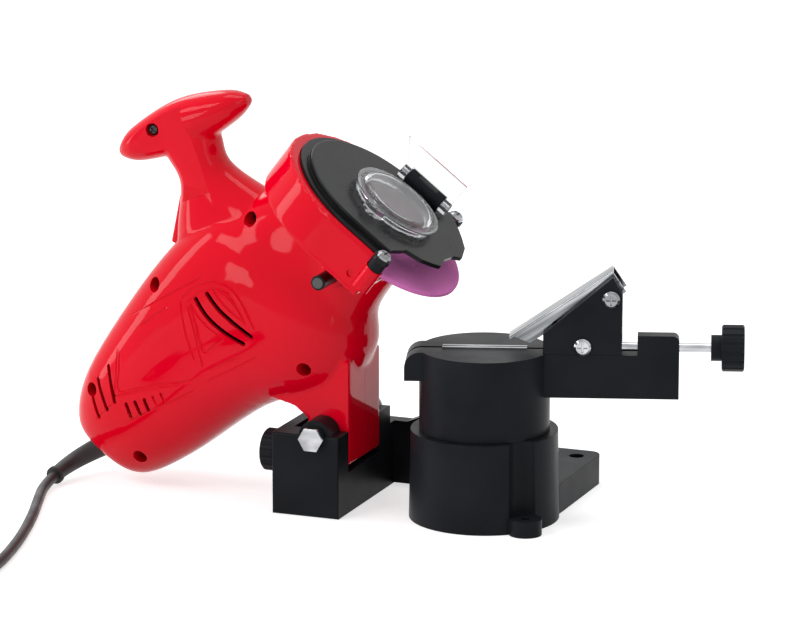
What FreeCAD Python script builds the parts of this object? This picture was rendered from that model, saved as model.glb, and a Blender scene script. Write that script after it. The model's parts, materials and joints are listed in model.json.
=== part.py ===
"""Electric chainsaw sharpener: a swivelling chain vise and a tilting grinding head on one base.

Origin of the saved pieces: on the bench, midway between the two bench bolts.  They are drawn
about the vise's swivel axis where it meets the bench.  +X runs right along the base's front edge,
+Y away from the operator, +Z up.  Millimetres.
"""
import FreeCAD
import Part
import math
import os
from FreeCAD import Placement, Rotation, Vector

os.makedirs("parts", exist_ok=True)

# ------------------------------------------------------------------ clearances
FIT = 0.05                    # radial running fit of a shaft or screw in its hole
GAP = 0.3                     # between bodies that move past each other
THRUST = 0.1                  # between flat faces that turn on each other
SEAT = 0.05                   # between a bought-in piece and its moulded pocket

# ------------------------------------------------------------------ base
CUP_R = 43.0                  # the vise's foot, at the bench
CUP_DRAFT = 1.0               # how much narrower the foot is at its top
CUP_HEIGHT = 51.5
CUP_FLOOR = 26.0              # roof of the hollow under the foot
CUP_WALL = 10.0
SPIGOT_R = 33.0               # the turret's spigot in the foot
SPIGOT_DEPTH = 7.5
EAR_R = 9.4                   # front screw ear, and the groove above it
EAR_X = 35.4
EAR_Y = -28.5
EAR_HEIGHT = 9.2
EAR_HOLE_R = 2.6
FLANGE_RIGHT = 39.3
FLANGE_FRONT = -14.0
FLANGE_THICK = 17.5
FLANGE_WALL = 4.0
BAR_FRONT = 46.6              # rear mounting bar
BAR_REAR = 94.4
BAR_CORNER = 8.0
BENCH_HOLE_R = 4.4
BENCH_HOLE_X = 27.5
BENCH_HOLE_SPACING = 130.0
BENCH_HOLE_Y = 80.6
WEB_THICK = 9.0               # upright web between the pivot block and the foot
WEB_LOW = 37.5
BLOCK_LEFT = -114.4
BLOCK_RIGHT = -73.6
BLOCK_HALF = 40.3             # half its depth, front to back
BLOCK_HEIGHT = 48.0
BLOCK_SIDE = 7.2              # left wall, which carries the depth screw
POCKET_FLOOR = 20.5
SILL_TOP = 24.0               # right lip of the pocket
SILL_THICK = 4.0

# ------------------------------------------------------------------ head pivot
PIVOT_X = -88.5
PIVOT_Z = 46.7
KNUCKLE_R = 9.8
BOLT_R = 4.0
BOLT_HEAD_AF = 13.0
BOLT_HEAD_H = 5.3
LUG_HALF = 24.0               # half the lug's width along the pivot
LUG_RIGHT = 15.2
LUG_LEFT = -10.5
LUG_BOTTOM = -22.0
LUG_TOP = 42.0

# ------------------------------------------------------------------ depth stop
DEPTH_Y = -20.0
DEPTH_Z = 32.0
DEPTH_SCREW_R = 3.0
DEPTH_TIP = -106.6
DEPTH_KNOB_R = 12.3
DEPTH_KNOB_THICK = 9.0
DEPTH_KNOB_FACE = -126.0
DEPTH_NUT_AF = 10.0
DEPTH_NUT_H = 2.4

# ------------------------------------------------------------------ chain vise
VISE_SWIVEL = 18.0            # degrees the rail is turned from square as it stands
TURRET_R = 37.2
RAIL_TOP = 98.5
RAIL_BOTTOM = 73.5
RAIL_STUB_BOTTOM = 82.0
RAIL_HALF = 14.75
RAIL_LEFT = -45.0
RAIL_RIGHT = 110.0
STUB_ROUND = 9.0
JAW_THICK = 2.3
JAW_LENGTH = 48.0
JAW_BOTTOM = 70.0
JAW_PROUD = 0.9
CHAIN_GAUGE = 1.8             # gap between the open jaws
CHAIN_SLOT_DEPTH = 9.0
CLAMP_Z = 77.0
CLAMP_SCREW_R = 3.0
CLAMP_KNOB_R = 10.5
CLAMP_KNOB_THICK = 12.0
CLAMP_KNOB_GAP = 4.0
LOCK_BOLT_R = 4.0
LOCK_KNOB_R = 15.0
LOCK_KNOB_THICK = 10.0
LOCK_BOLT_TOP = 62.0

# ------------------------------------------------------------------ chain pawl and its carrier
CARRIER_LEFT = 33.4
CARRIER_RIGHT = 77.7
CARRIER_APEX_X = 72.5
CARRIER_APEX_Z = 143.4
CARRIER_SHOULDER_Z = 133.7
CARRIER_LEFT_Z = 110.1
CARRIER_BACK = 8.0            # how far it slides back towards the turret
CARRIER_LIP = 3.0             # guide lip down the rail's rear side
CARRIER_LIP_DROP = 8.0
CARRIER_LIP_RISE = 6.0
CHEEK_INNER = 8.75            # from the chain's plane to a cheek's inner face
CHEEK_FOOT_INNER = 5.0
CHEEK_FOOT_TOP = 107.5
BRIDGE_TOP = 119.0            # of the wall that joins the cheeks behind the pawl
PAWL_PIN_X = 71.5
PAWL_PIN_Z = 130.9
PIN_NUT_AF = 8.0
PIN_NUT_H = 4.0
CARRIER_SCREW_X = 55.6
CARRIER_SCREW_Z = 103.3
SMALL_SCREW_R = 2.5
SMALL_HEAD_R = 4.9
SMALL_HEAD_H = 3.0
PAWL_ANGLE = 34.2
PAWL_LENGTH = 70.0
PAWL_SHEET = 1.2
PAWL_FLANGE = 9.0
PAWL_TIP_X = 14.0
PAWL_TIP_Z = 106.3
ADJUST_LEFT = 86.5
ADJUST_TOP = 110.0
ADJUST_INNER = 4.6
ADVANCE_Y = -9.7
ADVANCE_Z = 102.6
ADVANCE_R = 2.5
ADVANCE_IN = 8.0              # how far the screw reaches into the carrier
ADVANCE_HUB_R = 7.4
ADVANCE_HUB_LEFT = 127.8
ADVANCE_DISC_R = 13.2
ADVANCE_DISC_LEFT = 133.8
ADVANCE_KNOB_RIGHT = 146.5

# ------------------------------------------------------------------ grinding head
# The head is drawn along its spindle: (u, y, v) with u along the spindle towards the wheel and
# v across it, both from the pivot.  MOTOR_TILT turns that frame up from the horizontal.
MOTOR_TILT = 52.3
SPINDLE_V = 50.5
WALL = 2.6

WHEEL_R = 54.0
WHEEL_THICK = 3.2
WHEEL_BORE_R = 11.0
WHEEL_FACE = 107.7            # u of the wheel's outer face
SPINDLE_R = 5.0
SPINDLE_THREAD_R = 4.0
SPINDLE_GEAR_R = 6.0
SPINDLE_TAIL = 1.5            # how far the thread stands out of the nut
CLAMP_FLANGE_R = 20.0
CLAMP_FLANGE_THICK = 3.0
INNER_FLANGE_THICK = 4.0
SPINDLE_NUT_H = 5.0
NUT_AF = 13.0

GUARD_R = 57.5
GUARD_V = 63.5                # centre of the guard's outer arch
GUARD_OPENING_R = 55.0
OPENING_V = 59.5              # centre of its opening's arch
GUARD_END = 29.0
GUARD_BACK = 90.0
GUARD_FRONT = 117.0
GUARD_FLOOR = 94.0
GUARD_ROUND = 6.0

COVER_SKIRT_BACK = 115.0      # u where the cover's skirt ends inside the guard
COVER_SHOULDER = 119.0        # u of the ledge round its raised face
COVER_TOP = 122.0             # u of the raised face
COVER_WALL = 2.4
COVER_FACE_R = 49.8           # arch of the raised face, on the opening's centre
COVER_SKIRT_LOW = 40.0
COVER_SCREW_V = 30.0
COVER_SCREW_Y = 56.5
COVER_EAR_R = 5.2
COVER_HOLE_R = 24.0
SPACER_R = 4.6
SPACER_BACK = 110.5
CAP_V = 52.8
CAP_R = 27.6
CAP_COLLAR_R = 25.6
CAP_COLLAR = 3.6              # height of the collar that lifts the cap's flange
CAP_FLANGE = 1.4
CAP_DOME_R = 22.9
CAP_DOME = 2.4                # height of the dome over the flange
CAP_WALL = 1.5
CAP_LOBE_R = 7.0
CAP_LOBE_Y = -24.5
CAP_LOBE_V = 3.0
CLAMP_BAR_Y = 39.5
CLAMP_BAR_R = 5.4
CLAMP_BAR_LOW = 38.5
CLAMP_BAR_HIGH = 64.2
CLAMP_BAR_U = 4.5             # its axis over the cover's face
CLAMP_WAIST = 1.1             # depth of the flat in its middle
CLAMP_WAIST_HALF = 7.0
SHIELD_PIN_R = 1.5
SHIELD_THICK = 1.6
SHIELD_EAR = 5.0              # length of each hinge ring beside the knuckle
SHIELD_FLARE = 9.0            # how much further its free edge runs at the upper end
SHIELD_REACH = 17.0
SHIELD_BOW = 40.0             # radius of its gentle bend
SHIELD_RING_R = 4.0

LOCK_U = 80.0
LOCK_R = 4.3
LOCK_PIN_R = 2.5
LOCK_SHOULDER = 20.0          # distance of the button's shoulder from the spindle's axis
LOCK_TIP = 9.8
LOCK_END = 55.0
LOCK_HEAD = 9.0               # length of the steel pin's head in the button
LOCK_COLLAR_R = 7.5
LOCK_COLLAR_END = 33.0

# motor and gears
MODULE = 1.25
PINION_TEETH = 12
GEAR_TEETH = 52
GEAR_BACK = 31.5
GEAR_FACE = 9.0
MOTOR_V = SPINDLE_V + MODULE * (PINION_TEETH + GEAR_TEETH) / 2
STATOR_R = 28.0
STATOR_BACK = -52.0
STATOR_LENGTH = 44.0
CORE_R = 16.5
AIR_GAP = 0.8
COIL_LENGTH = 7.0
CORE_LENGTH = 36.0
ROTOR_R = 4.0
ROTOR_STUB_R = 2.5
ROTOR_BACK = -93.0
ROTOR_FRONT = 42.0
COMMUTATOR_R = 11.0
COMMUTATOR_BACK = -76.0
COMMUTATOR_LENGTH = 15.0
FAN_R = 27.0
FAN_BACK = 4.0
FAN_LENGTH = 10.0
FAN_BLADES = 9
BEARING_R = 11.0              # the two 8 mm bearings and, below, the small and the large one
BEARING_THICK = 7.0
BEARING_BACK = 21.0
REAR_BEARING_R = 8.0
REAR_BEARING_THICK = 5.0
REAR_BEARING_BACK = -91.0
FRONT_BEARING_R = 13.0
FRONT_BEARING_THICK = 8.0
FRONT_BEARING_AWAY = 12.0     # from the lock's axis back to the bearing's face
RIB = 4.0                     # thickness of the moulded ribs that hold the works
BRUSH_U = -68.0
BRUSH_WIDE = 7.0
BRUSH_THICK = 6.0
BRUSH_END = 27.0
HOLDER_WALL = 1.0
HOLDER_START = 15.0
HOLDER_END = 31.0

# handle and switch
STEM_ANGLE = 63.7             # from the spindle direction
BAR_ANGLE = -30.6
SWITCH_U = 29.0               # middle of the paddle's outer face
SWITCH_V = 147.6
SWITCH_ANGLE = 26.0           # its slope from the spindle direction
PADDLE_LENGTH = 29.0
PADDLE_WIDE = 13.0
PADDLE_DEEP = 9.0
PADDLE_TRAVEL = 2.5
SWITCH_BODY = (20.0, 10.0, 12.0)

SWITCH_STEM_R = 2.5
SWITCH_STEM = 5.0             # from the paddle's underside into the switch
PADDLE_PROUD = 1.0

# u, v of each housing screw
BOSSES = ((67.0, 109.6), (-2.0, 130.0), (24.0, 30.3), (-91.0, 75.5), (-79.0, 122.0), (63.0, 188.8))
BOSS_R = 5.2
HEAD_POCKET_R = 4.0
HOUSE_SCREW_R = 1.6
HOUSE_HEAD_R = 3.3
HOUSE_HEAD_H = 2.4
SCREW_SEAT = 9.0              # from the parting plane forward to the heads' seats
SCREW_REACH = 9.0

# vents: u, v of both ends of each slot
FAN_SLOTS = (((13.3, 105.2), (12.6, 66.4)), ((18.9, 101.7), (18.8, 64.9)))
FAN_SLOT_WIDE = 3.0
FAN_SLOT_INNER = 31.0
REAR_SLOTS = (((-77.5, 117.0), (-84.3, 107.0)), ((-68.0, 118.0), (-77.0, 105.4)),
              ((-57.3, 118.4), (-69.6, 104.2)), ((-67.7, 98.0), (-71.2, 91.3)),
              ((-61.7, 94.0), (-65.0, 87.4)), ((-56.9, 90.6), (-60.0, 85.2)))
REAR_SLOT_WIDE = 2.2
REAR_SLOT_INNER = 25.0
HALF_DEPTH = 45.0             # more than the casing's half depth

# works
FRONT_BEARING_BACK = LOCK_U - FRONT_BEARING_AWAY - FRONT_BEARING_THICK
LIP = 1.0                     # of a rib past the bearing that it holds
SHAFT_ROOM = 1.0
SPINDLE_BACK = 19.0
SPINDLE_STEP = 29.5
SPINDLE_COLLAR_R = 9.5
LOCK_BOSS = 10.6
LOCK_BORE_END = 12.5
TOOTH_ROOT = 0.31             # half thickness of a tooth, as a share of the circular pitch
TOOTH_TIP = 0.11

# wheel cover: y, v of its chin
CHIN = [(-47.6, 30.0), (-38.2, 27.0), (-33.4, 26.0), (-28.6, 16.5), (-22.5, 11.0), (-17.7, 7.5), (-7.4, 10.0),
        (4.8, 9.0), (11.7, 5.5), (24.8, 9.6), (33.1, 15.8), (39.6, 21.5), (47.6, 30.0)]
COVER_EDGE = 0.8              # round of the raised face's rim
COVER_SCREW_R = 2.0
COVER_SCREW_DEEP = 8.0
COVER_HEAD_R = 4.4

# cord, in place on the bench
CORD_R = 3.15
RELIEF_ROOT = Vector(-238.0, 0, 18.6)
RELIEF_BEND = Vector(-256.0, -9.0, 9.48)
RELIEF_TIP = Vector(-256.0, -32.0, 5.8)
RELIEF_SEAT = 8.0
RELIEF_MOUTH = 0.25           # share of the sleeve that the casing's edge may meet
RELIEF_ROOT_R = 6.3
RELIEF_TIP_R = 4.2
RELIEF_RING_R = 5.3
RELIEF_RING = 2.4
CORD_POINTS = [RELIEF_TIP, Vector(-256.0, -47.0, 3.4), Vector(-247.0, -72.0, 3.2), Vector(-232.0, -112.0, 3.3),
               Vector(-217.0, -162.0, 3.2), Vector(-207.0, -212.0, 3.3), Vector(-210.0, -258.0, 3.2),
               Vector(-217.0, -306.0, 3.3)]
COIL = Vector(-252.0, -334.0, 0)
COIL_R = 35.0
COIL_WIDE = 19.0
COIL_HIGH = 19.0
COIL_ROUND = 5.0
TAIL_POINTS = [Vector(-287.0, -306.0, 3.3), Vector(-291.0, -284.0, 3.4), Vector(-287.0, -262.0, 6.0),
               Vector(-289.0, -240.0, 9.6)]
PLUG_NECK = 14.0
PLUG_NECK_R = 6.0
PLUG_LONG = 22.0
PLUG_WIDE = 24.0
PLUG_HIGH = 17.0
PIN_LONG = 17.0
PIN_DEEP = 8.0
PIN_THICK = 1.5
PIN_HIGH = 6.35
PIN_SPACING = 12.7

X, Y, Z = Vector(1, 0, 0), Vector(0, 1, 0), Vector(0, 0, 1)
PIVOT = Vector(PIVOT_X, 0, PIVOT_Z)


# ------------------------------------------------------------------ small helpers
def cylinder(radius, length, base, axis):
    return Part.makeCylinder(radius, length, base, axis)


def box(x0, x1, y0, y1, z0, z1):
    return Part.makeBox(x1 - x0, y1 - y0, z1 - z0, Vector(x0, y0, z0))


def prism_xz(points, y0, y1):
    """A polygon in X and Z, extruded from y0 to y1."""
    corners = [Vector(x, y0, z) for x, z in points]
    face = Part.Face(Part.makePolygon(corners + corners[:1]))
    return face.extrude(Vector(0, y1 - y0, 0))


def prism_yz(points, x0, x1):
    """A polygon in Y and Z, extruded from x0 to x1."""
    corners = [Vector(x0, y, z) for y, z in points]
    face = Part.Face(Part.makePolygon(corners + corners[:1]))
    return face.extrude(Vector(x1 - x0, 0, 0))


def hexagon(across_flats, height, base, axis):
    """A hexagonal prism with its base's centre and its axis given."""
    radius = across_flats / math.sqrt(3)
    turn = [math.radians(60 * i) for i in range(7)]
    ring = [Vector(radius * math.cos(a), radius * math.sin(a), 0) for a in turn]
    solid = Part.Face(Part.makePolygon(ring)).extrude(Vector(0, 0, height))
    solid.Placement = Placement(base, Rotation(Z, axis))
    return solid


def fluted_knob(radius, thick, base, axis, flutes=12, flute_r=1.6):
    """A round knob with finger flutes and softened rims."""
    knob = cylinder(radius, thick, Vector(0, 0, 0), Z)
    knob = knob.makeChamfer(0.8, knob.Edges)
    for i in range(flutes):
        angle = 2 * math.pi * i / flutes
        centre = Vector(math.cos(angle), math.sin(angle), 0) * (radius + flute_r * 0.45)
        knob = knob.cut(cylinder(flute_r, thick, centre, Z))
    knob.Placement = Placement(base, Rotation(Z, axis))
    return knob


def pan_head(radius, height, base, axis):
    """A screw head with a domed rim and a cross recess; base is its seat."""
    head = cylinder(radius, height, Vector(0, 0, 0), Z)
    head = head.makeChamfer(height * 0.45, [head.Edges[0]])
    for turn in (0, 90):
        arm = box(-radius * 0.6, radius * 0.6, -0.5, 0.5, height * 0.5, height + 1)
        arm.rotate(Vector(0, 0, 0), Z, turn)
        head = head.cut(arm)
    head.Placement = Placement(base, Rotation(Z, axis))
    return head


def in_motor(shape):
    """From the spindle frame to the standing head, still about the pivot."""
    shape.rotate(Vector(0, 0, 0), Y, -MOTOR_TILT)
    return shape


def on_head(shape):
    """Put a shape drawn about the pivot in its place on the base."""
    shape.translate(PIVOT)
    return shape


def on_rail(shape):
    """Turn a shape drawn on the square vise to the rail's standing angle."""
    shape.rotate(Vector(0, 0, 0), Z, VISE_SWIVEL)
    return shape


def save(name, *shapes):
    """Write one node about the bench bolts; several shapes become a group of separate solids."""
    solids = [solid for shape in shapes for solid in shape.Solids]
    result = solids[0] if len(solids) == 1 else Part.makeCompound(solids)
    result.translate(Vector(BENCH_HOLE_SPACING / 2 - BENCH_HOLE_X, -BENCH_HOLE_Y, 0))
    result.exportStep("parts/" + name + ".step")


# ------------------------------------------------------------------ base
def cup():
    """The outside of the vise's foot: a drafted round tower with an ear and a driver groove."""
    tower = Part.makeCone(CUP_R, CUP_R - CUP_DRAFT, CUP_HEIGHT)
    groove = cylinder(EAR_R - 0.1, CUP_HEIGHT, Vector(EAR_X, EAR_Y, EAR_HEIGHT), Z)
    ear = cylinder(EAR_R, EAR_HEIGHT, Vector(EAR_X, EAR_Y, 0), Z)
    return tower.cut(groove).fuse(ear)


def vise_foot():
    """The foot with the turret's bearing, the angle bolt's bore and the hollow for its knob."""
    cuts = [cylinder(SPIGOT_R + FIT, SPIGOT_DEPTH + 1, Vector(0, 0, CUP_HEIGHT - SPIGOT_DEPTH), Z),
            cylinder(LOCK_BOLT_R + FIT, CUP_HEIGHT, Vector(0, 0, 0), Z),
            cylinder(CUP_R - CUP_WALL, CUP_FLOOR + 1, Vector(0, 0, -1), Z),
            cylinder(EAR_HOLE_R, EAR_HEIGHT + 2, Vector(EAR_X, EAR_Y, -1), Z)]
    return cup().cut(cuts)


def flange_and_bar():
    """The rear mounting bar and the flange that ties it to the foot's right side."""
    flange = box(0, FLANGE_RIGHT, FLANGE_FRONT, BAR_REAR, 0, FLANGE_THICK)
    bar = box(BLOCK_LEFT, FLANGE_RIGHT, BAR_FRONT, BAR_REAR, 0, FLANGE_THICK)
    slab = flange.fuse(bar).removeSplitter()
    corners = [e for e in slab.Edges
               if abs(e.CenterOfMass.y - BAR_REAR) < 0.01 and abs(e.Length - FLANGE_THICK) < 0.01]
    return slab.makeFillet(BAR_CORNER, corners)


def pivot_block():
    """The box at the left front whose walls carry the head's pivot."""
    block = box(BLOCK_LEFT, BLOCK_RIGHT, -BLOCK_HALF, BLOCK_HALF, 0, BLOCK_HEIGHT)
    arm = box(BLOCK_LEFT, BLOCK_RIGHT, BLOCK_HALF, BAR_REAR - BAR_CORNER, 0, FLANGE_THICK)
    knuckle = cylinder(KNUCKLE_R, 2 * BLOCK_HALF - 3, Vector(PIVOT_X, -BLOCK_HALF + 1.5, PIVOT_Z), Y)
    pocket = box(BLOCK_LEFT + BLOCK_SIDE, BLOCK_RIGHT + 1, -LUG_HALF - GAP, LUG_HALF + GAP,
                 POCKET_FLOOR, PIVOT_Z + KNUCKLE_R + 1)
    sill = box(BLOCK_RIGHT - SILL_THICK, BLOCK_RIGHT, -BLOCK_HALF + 1, BLOCK_HALF - 1, 0, SILL_TOP)
    return block.fuse(knuckle).cut(pocket).fuse([arm, sill])


def web():
    """The upright web behind the pivot block, rising to the foot."""
    outline = [(BLOCK_LEFT, 0), (0, 0), (0, CUP_HEIGHT - SPIGOT_DEPTH - 1), (-CUP_R + 4, CUP_HEIGHT - 3),
               (BLOCK_RIGHT + 8, WEB_LOW), (BLOCK_LEFT, WEB_LOW)]
    return prism_xz(outline, BAR_FRONT - 0.01, BAR_FRONT + WEB_THICK)


def base():
    """The mounting bar, the flange, the web and the pivot block, up to the vise's foot."""
    body = flange_and_bar().fuse([pivot_block(), web(),
                                  box(BLOCK_LEFT, BLOCK_RIGHT, BLOCK_HALF - 1, BAR_FRONT + 1, 0, WEB_LOW)])
    body = body.removeSplitter()
    cuts = [cup(), cylinder(CUP_R - CUP_WALL, CUP_FLOOR + 1, Vector(0, 0, -1), Z)]
    # moulded hollows under the mounting bar and the block, with the screw bosses left standing
    hollow_top = FLANGE_THICK - FLANGE_WALL
    bosses = []
    for x in (BENCH_HOLE_X, BENCH_HOLE_X - BENCH_HOLE_SPACING):
        bosses.append(cylinder(BENCH_HOLE_R + FLANGE_WALL, FLANGE_THICK, Vector(x, BENCH_HOLE_Y, 0), Z))
        cuts.append(cylinder(BENCH_HOLE_R, FLANGE_THICK + 2, Vector(x, BENCH_HOLE_Y, -1), Z))
    bays = 4
    left = BLOCK_LEFT + FLANGE_WALL
    pitch = (FLANGE_RIGHT - FLANGE_WALL - left + FLANGE_WALL) / bays
    for i in range(bays):
        bay = box(left + i * pitch, left + (i + 1) * pitch - FLANGE_WALL, BAR_FRONT + WEB_THICK,
                  BAR_REAR - FLANGE_WALL, -1, hollow_top)
        cuts.append(bay.cut(Part.makeCompound(bosses)))
    cuts.append(box(BLOCK_LEFT + FLANGE_WALL, BLOCK_RIGHT - FLANGE_WALL, -BLOCK_HALF + FLANGE_WALL,
                    BLOCK_HALF, -1, POCKET_FLOOR - FLANGE_WALL))
    # head pivot and depth screw
    cuts.append(cylinder(BOLT_R + FIT, 2 * BLOCK_HALF + 4, Vector(PIVOT_X, -BLOCK_HALF - 2, PIVOT_Z), Y))
    cuts.append(cylinder(DEPTH_SCREW_R + FIT, BLOCK_SIDE + 2, Vector(BLOCK_LEFT - 1, DEPTH_Y, DEPTH_Z), X))
    body = body.cut(cuts)
    front = [e for e in body.Edges if e.BoundBox.YMax < -BLOCK_HALF + 0.01
             and e.BoundBox.XMax < BLOCK_RIGHT + 0.01 and e.Curve.TypeId == "Part::GeomLine"]
    return body.makeFillet(1.0, front)


def pivot_bolt():
    head = hexagon(BOLT_HEAD_AF, BOLT_HEAD_H, Vector(PIVOT_X, -BLOCK_HALF, PIVOT_Z), -Y)
    shank = cylinder(BOLT_R, 2 * BLOCK_HALF + 9, Vector(PIVOT_X, -BLOCK_HALF - 0.5, PIVOT_Z), Y)
    return head.fuse(shank)


def pivot_nut():
    nut = hexagon(BOLT_HEAD_AF, 6.5, Vector(PIVOT_X, BLOCK_HALF, PIVOT_Z), Y)
    return nut.cut(cylinder(BOLT_R + FIT, 9, Vector(PIVOT_X, BLOCK_HALF - 1, PIVOT_Z), Y))


def depth_screw():
    length = DEPTH_TIP - DEPTH_KNOB_FACE - 2
    screw = cylinder(DEPTH_SCREW_R, length, Vector(DEPTH_KNOB_FACE + 2, DEPTH_Y, DEPTH_Z), X)
    tip = [e for e in screw.Edges if abs(e.CenterOfMass.x - DEPTH_TIP) < 0.01]
    return screw.makeChamfer(0.8, tip[:1])


def depth_knob():
    start = Vector(DEPTH_KNOB_FACE, DEPTH_Y, DEPTH_Z)
    knob = fluted_knob(DEPTH_KNOB_R, DEPTH_KNOB_THICK, start, X, flutes=18, flute_r=1.2)
    return knob.cut(cylinder(DEPTH_SCREW_R + FIT, DEPTH_KNOB_THICK, start + X * 2, X))


def depth_nut():
    """The lock nut that is pressed into the block's left wall."""
    start = Vector(BLOCK_LEFT - DEPTH_NUT_H, DEPTH_Y, DEPTH_Z)
    nut = hexagon(DEPTH_NUT_AF, DEPTH_NUT_H, start, X)
    return nut.cut(cylinder(DEPTH_SCREW_R + FIT, DEPTH_NUT_H + 2, start - X, X))


# ------------------------------------------------------------------ chain vise
JAW_SLOT_FRONT = -(JAW_THICK + CHAIN_GAUGE / 2)
JAW_SLOT_REAR = JAW_THICK + CHAIN_GAUGE / 2 + GAP


def turret_rail():
    """The turret, the rail across it and the advance screw's block, one moulding."""
    turret = cylinder(TURRET_R, RAIL_TOP - CUP_HEIGHT - THRUST, Vector(0, 0, CUP_HEIGHT + THRUST), Z)
    foot = cylinder(SPIGOT_R, SPIGOT_DEPTH, Vector(0, 0, CUP_HEIGHT - SPIGOT_DEPTH + THRUST), Z)
    arm = box(0, RAIL_RIGHT, -RAIL_HALF, RAIL_HALF, RAIL_BOTTOM, RAIL_TOP)
    stub = box(RAIL_LEFT, 0, -RAIL_HALF, RAIL_HALF, RAIL_STUB_BOTTOM, RAIL_TOP)
    stub_end = [e for e in stub.Edges
                if abs(e.CenterOfMass.x - RAIL_LEFT) < 0.01 and abs(e.CenterOfMass.z - RAIL_TOP) < 0.01]
    stub = stub.makeFillet(STUB_ROUND, stub_end)
    block = box(ADJUST_LEFT, RAIL_RIGHT, -RAIL_HALF, -ADJUST_INNER, RAIL_TOP - 1, ADJUST_TOP)
    block_end = [e for e in block.Edges
                 if abs(e.CenterOfMass.x - RAIL_RIGHT) < 0.01 and abs(e.CenterOfMass.z - ADJUST_TOP) < 0.01]
    block = block.makeFillet(3.5, block_end)
    body = turret.fuse([foot, arm, stub, block]).removeSplitter()
    slot = box(RAIL_LEFT - 1, RAIL_RIGHT + 1, JAW_SLOT_FRONT / 2, -JAW_SLOT_FRONT / 2,
               RAIL_TOP - CHAIN_SLOT_DEPTH, ADJUST_TOP + 1)
    jaws = box(-JAW_LENGTH / 2 - SEAT, JAW_LENGTH / 2 + SEAT, JAW_SLOT_FRONT, JAW_SLOT_REAR,
               JAW_BOTTOM, RAIL_TOP + 1)
    cuts = [slot, jaws,
            cylinder(CLAMP_SCREW_R + FIT, TURRET_R, Vector(0, 0, CLAMP_Z), Y),
            cylinder(ADVANCE_R + FIT, RAIL_RIGHT - ADJUST_LEFT + 2,
                     Vector(ADJUST_LEFT - 1, ADVANCE_Y, ADVANCE_Z), X),
            cylinder(LOCK_BOLT_R + FIT, LOCK_BOLT_TOP - CUP_HEIGHT + SPIGOT_DEPTH + 1,
                     Vector(0, 0, CUP_HEIGHT - SPIGOT_DEPTH - 1), Z)]
    return body.cut(cuts)


def jaw(side):
    """One steel jaw strip: side -1 is the fixed front one, +1 the moving rear one."""
    inner = CHAIN_GAUGE / 2
    y0, y1 = sorted((side * inner, side * (inner + JAW_THICK)))
    return box(-JAW_LENGTH / 2, JAW_LENGTH / 2, y0, y1, JAW_BOTTOM, RAIL_TOP + JAW_PROUD)


def clamp_screw():
    start = CHAIN_GAUGE / 2 + JAW_THICK
    length = TURRET_R + CLAMP_KNOB_GAP + CLAMP_KNOB_THICK - 2 - start
    return cylinder(CLAMP_SCREW_R, length, Vector(0, start, CLAMP_Z), Y)


def clamp_knob():
    start = Vector(0, TURRET_R + CLAMP_KNOB_GAP, CLAMP_Z)
    knob = fluted_knob(CLAMP_KNOB_R, CLAMP_KNOB_THICK, start, Y)
    return knob.cut(cylinder(CLAMP_SCREW_R + FIT, CLAMP_KNOB_THICK - 2, start, Y))


def angle_lock_bolt():
    bottom = CUP_FLOOR - THRUST - LOCK_KNOB_THICK + 2
    return cylinder(LOCK_BOLT_R, LOCK_BOLT_TOP - bottom, Vector(0, 0, bottom), Z)


def angle_lock_knob():
    start = Vector(0, 0, CUP_FLOOR - THRUST - LOCK_KNOB_THICK)
    knob = fluted_knob(LOCK_KNOB_R, LOCK_KNOB_THICK, start, Z)
    return knob.cut(cylinder(LOCK_BOLT_R + FIT, LOCK_KNOB_THICK, start + Z * 2, Z))


def pawl_carrier():
    """Two cheeks that slide on the rail, joined behind the pawl; the chain runs between them."""
    outline = [(CARRIER_LEFT, RAIL_TOP + THRUST), (CARRIER_LEFT, CARRIER_LEFT_Z),
               (CARRIER_APEX_X, CARRIER_APEX_Z), (CARRIER_RIGHT, CARRIER_SHOULDER_Z),
               (CARRIER_RIGHT, RAIL_TOP + THRUST)]
    body = prism_xz(outline, -RAIL_HALF, RAIL_HALF)
    lip_left = TURRET_R + CARRIER_BACK + GAP
    lip = box(lip_left, CARRIER_RIGHT, RAIL_HALF + THRUST, RAIL_HALF + THRUST + CARRIER_LIP,
              RAIL_TOP - CARRIER_LIP_DROP, RAIL_TOP + CARRIER_LIP_RISE)
    lip = lip.fuse(box(lip_left, CARRIER_RIGHT, RAIL_HALF - 1, RAIL_HALF + 1,
                       RAIL_TOP + THRUST, RAIL_TOP + CARRIER_LIP_RISE))
    bridge_left = CARRIER_RIGHT - 4.5
    upper = box(CARRIER_LEFT - 1, bridge_left, -CHEEK_INNER, CHEEK_INNER,
                CHEEK_FOOT_TOP, CARRIER_APEX_Z + 1)
    lower = box(CARRIER_LEFT - 1, CARRIER_RIGHT + 1, -CHEEK_FOOT_INNER, CHEEK_FOOT_INNER,
                RAIL_TOP, CHEEK_FOOT_TOP + 1)
    behind = box(bridge_left - 1, CARRIER_RIGHT + 1, -CHEEK_INNER, CHEEK_INNER,
                 BRIDGE_TOP, CARRIER_APEX_Z + 1)
    cuts = [upper, lower, behind]
    cuts.append(cylinder(SMALL_SCREW_R + FIT, 4 * RAIL_HALF, Vector(PAWL_PIN_X, -2 * RAIL_HALF, PAWL_PIN_Z), Y))
    cuts.append(cylinder(SMALL_SCREW_R + FIT, RAIL_HALF + 1,
                         Vector(CARRIER_SCREW_X, -RAIL_HALF - 1, CARRIER_SCREW_Z), Y))
    cuts.append(cylinder(ADVANCE_R + FIT, ADVANCE_IN + 1,
                         Vector(CARRIER_RIGHT - ADVANCE_IN, ADVANCE_Y, ADVANCE_Z), X))
    return body.fuse(lip).cut(cuts)


def cheek_screw(x, z, length):
    """A pan-head screw in the front cheek."""
    seat = Vector(x, -RAIL_HALF, z)
    return pan_head(SMALL_HEAD_R, SMALL_HEAD_H, seat, -Y).fuse(cylinder(SMALL_SCREW_R, length, seat, Y))


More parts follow.
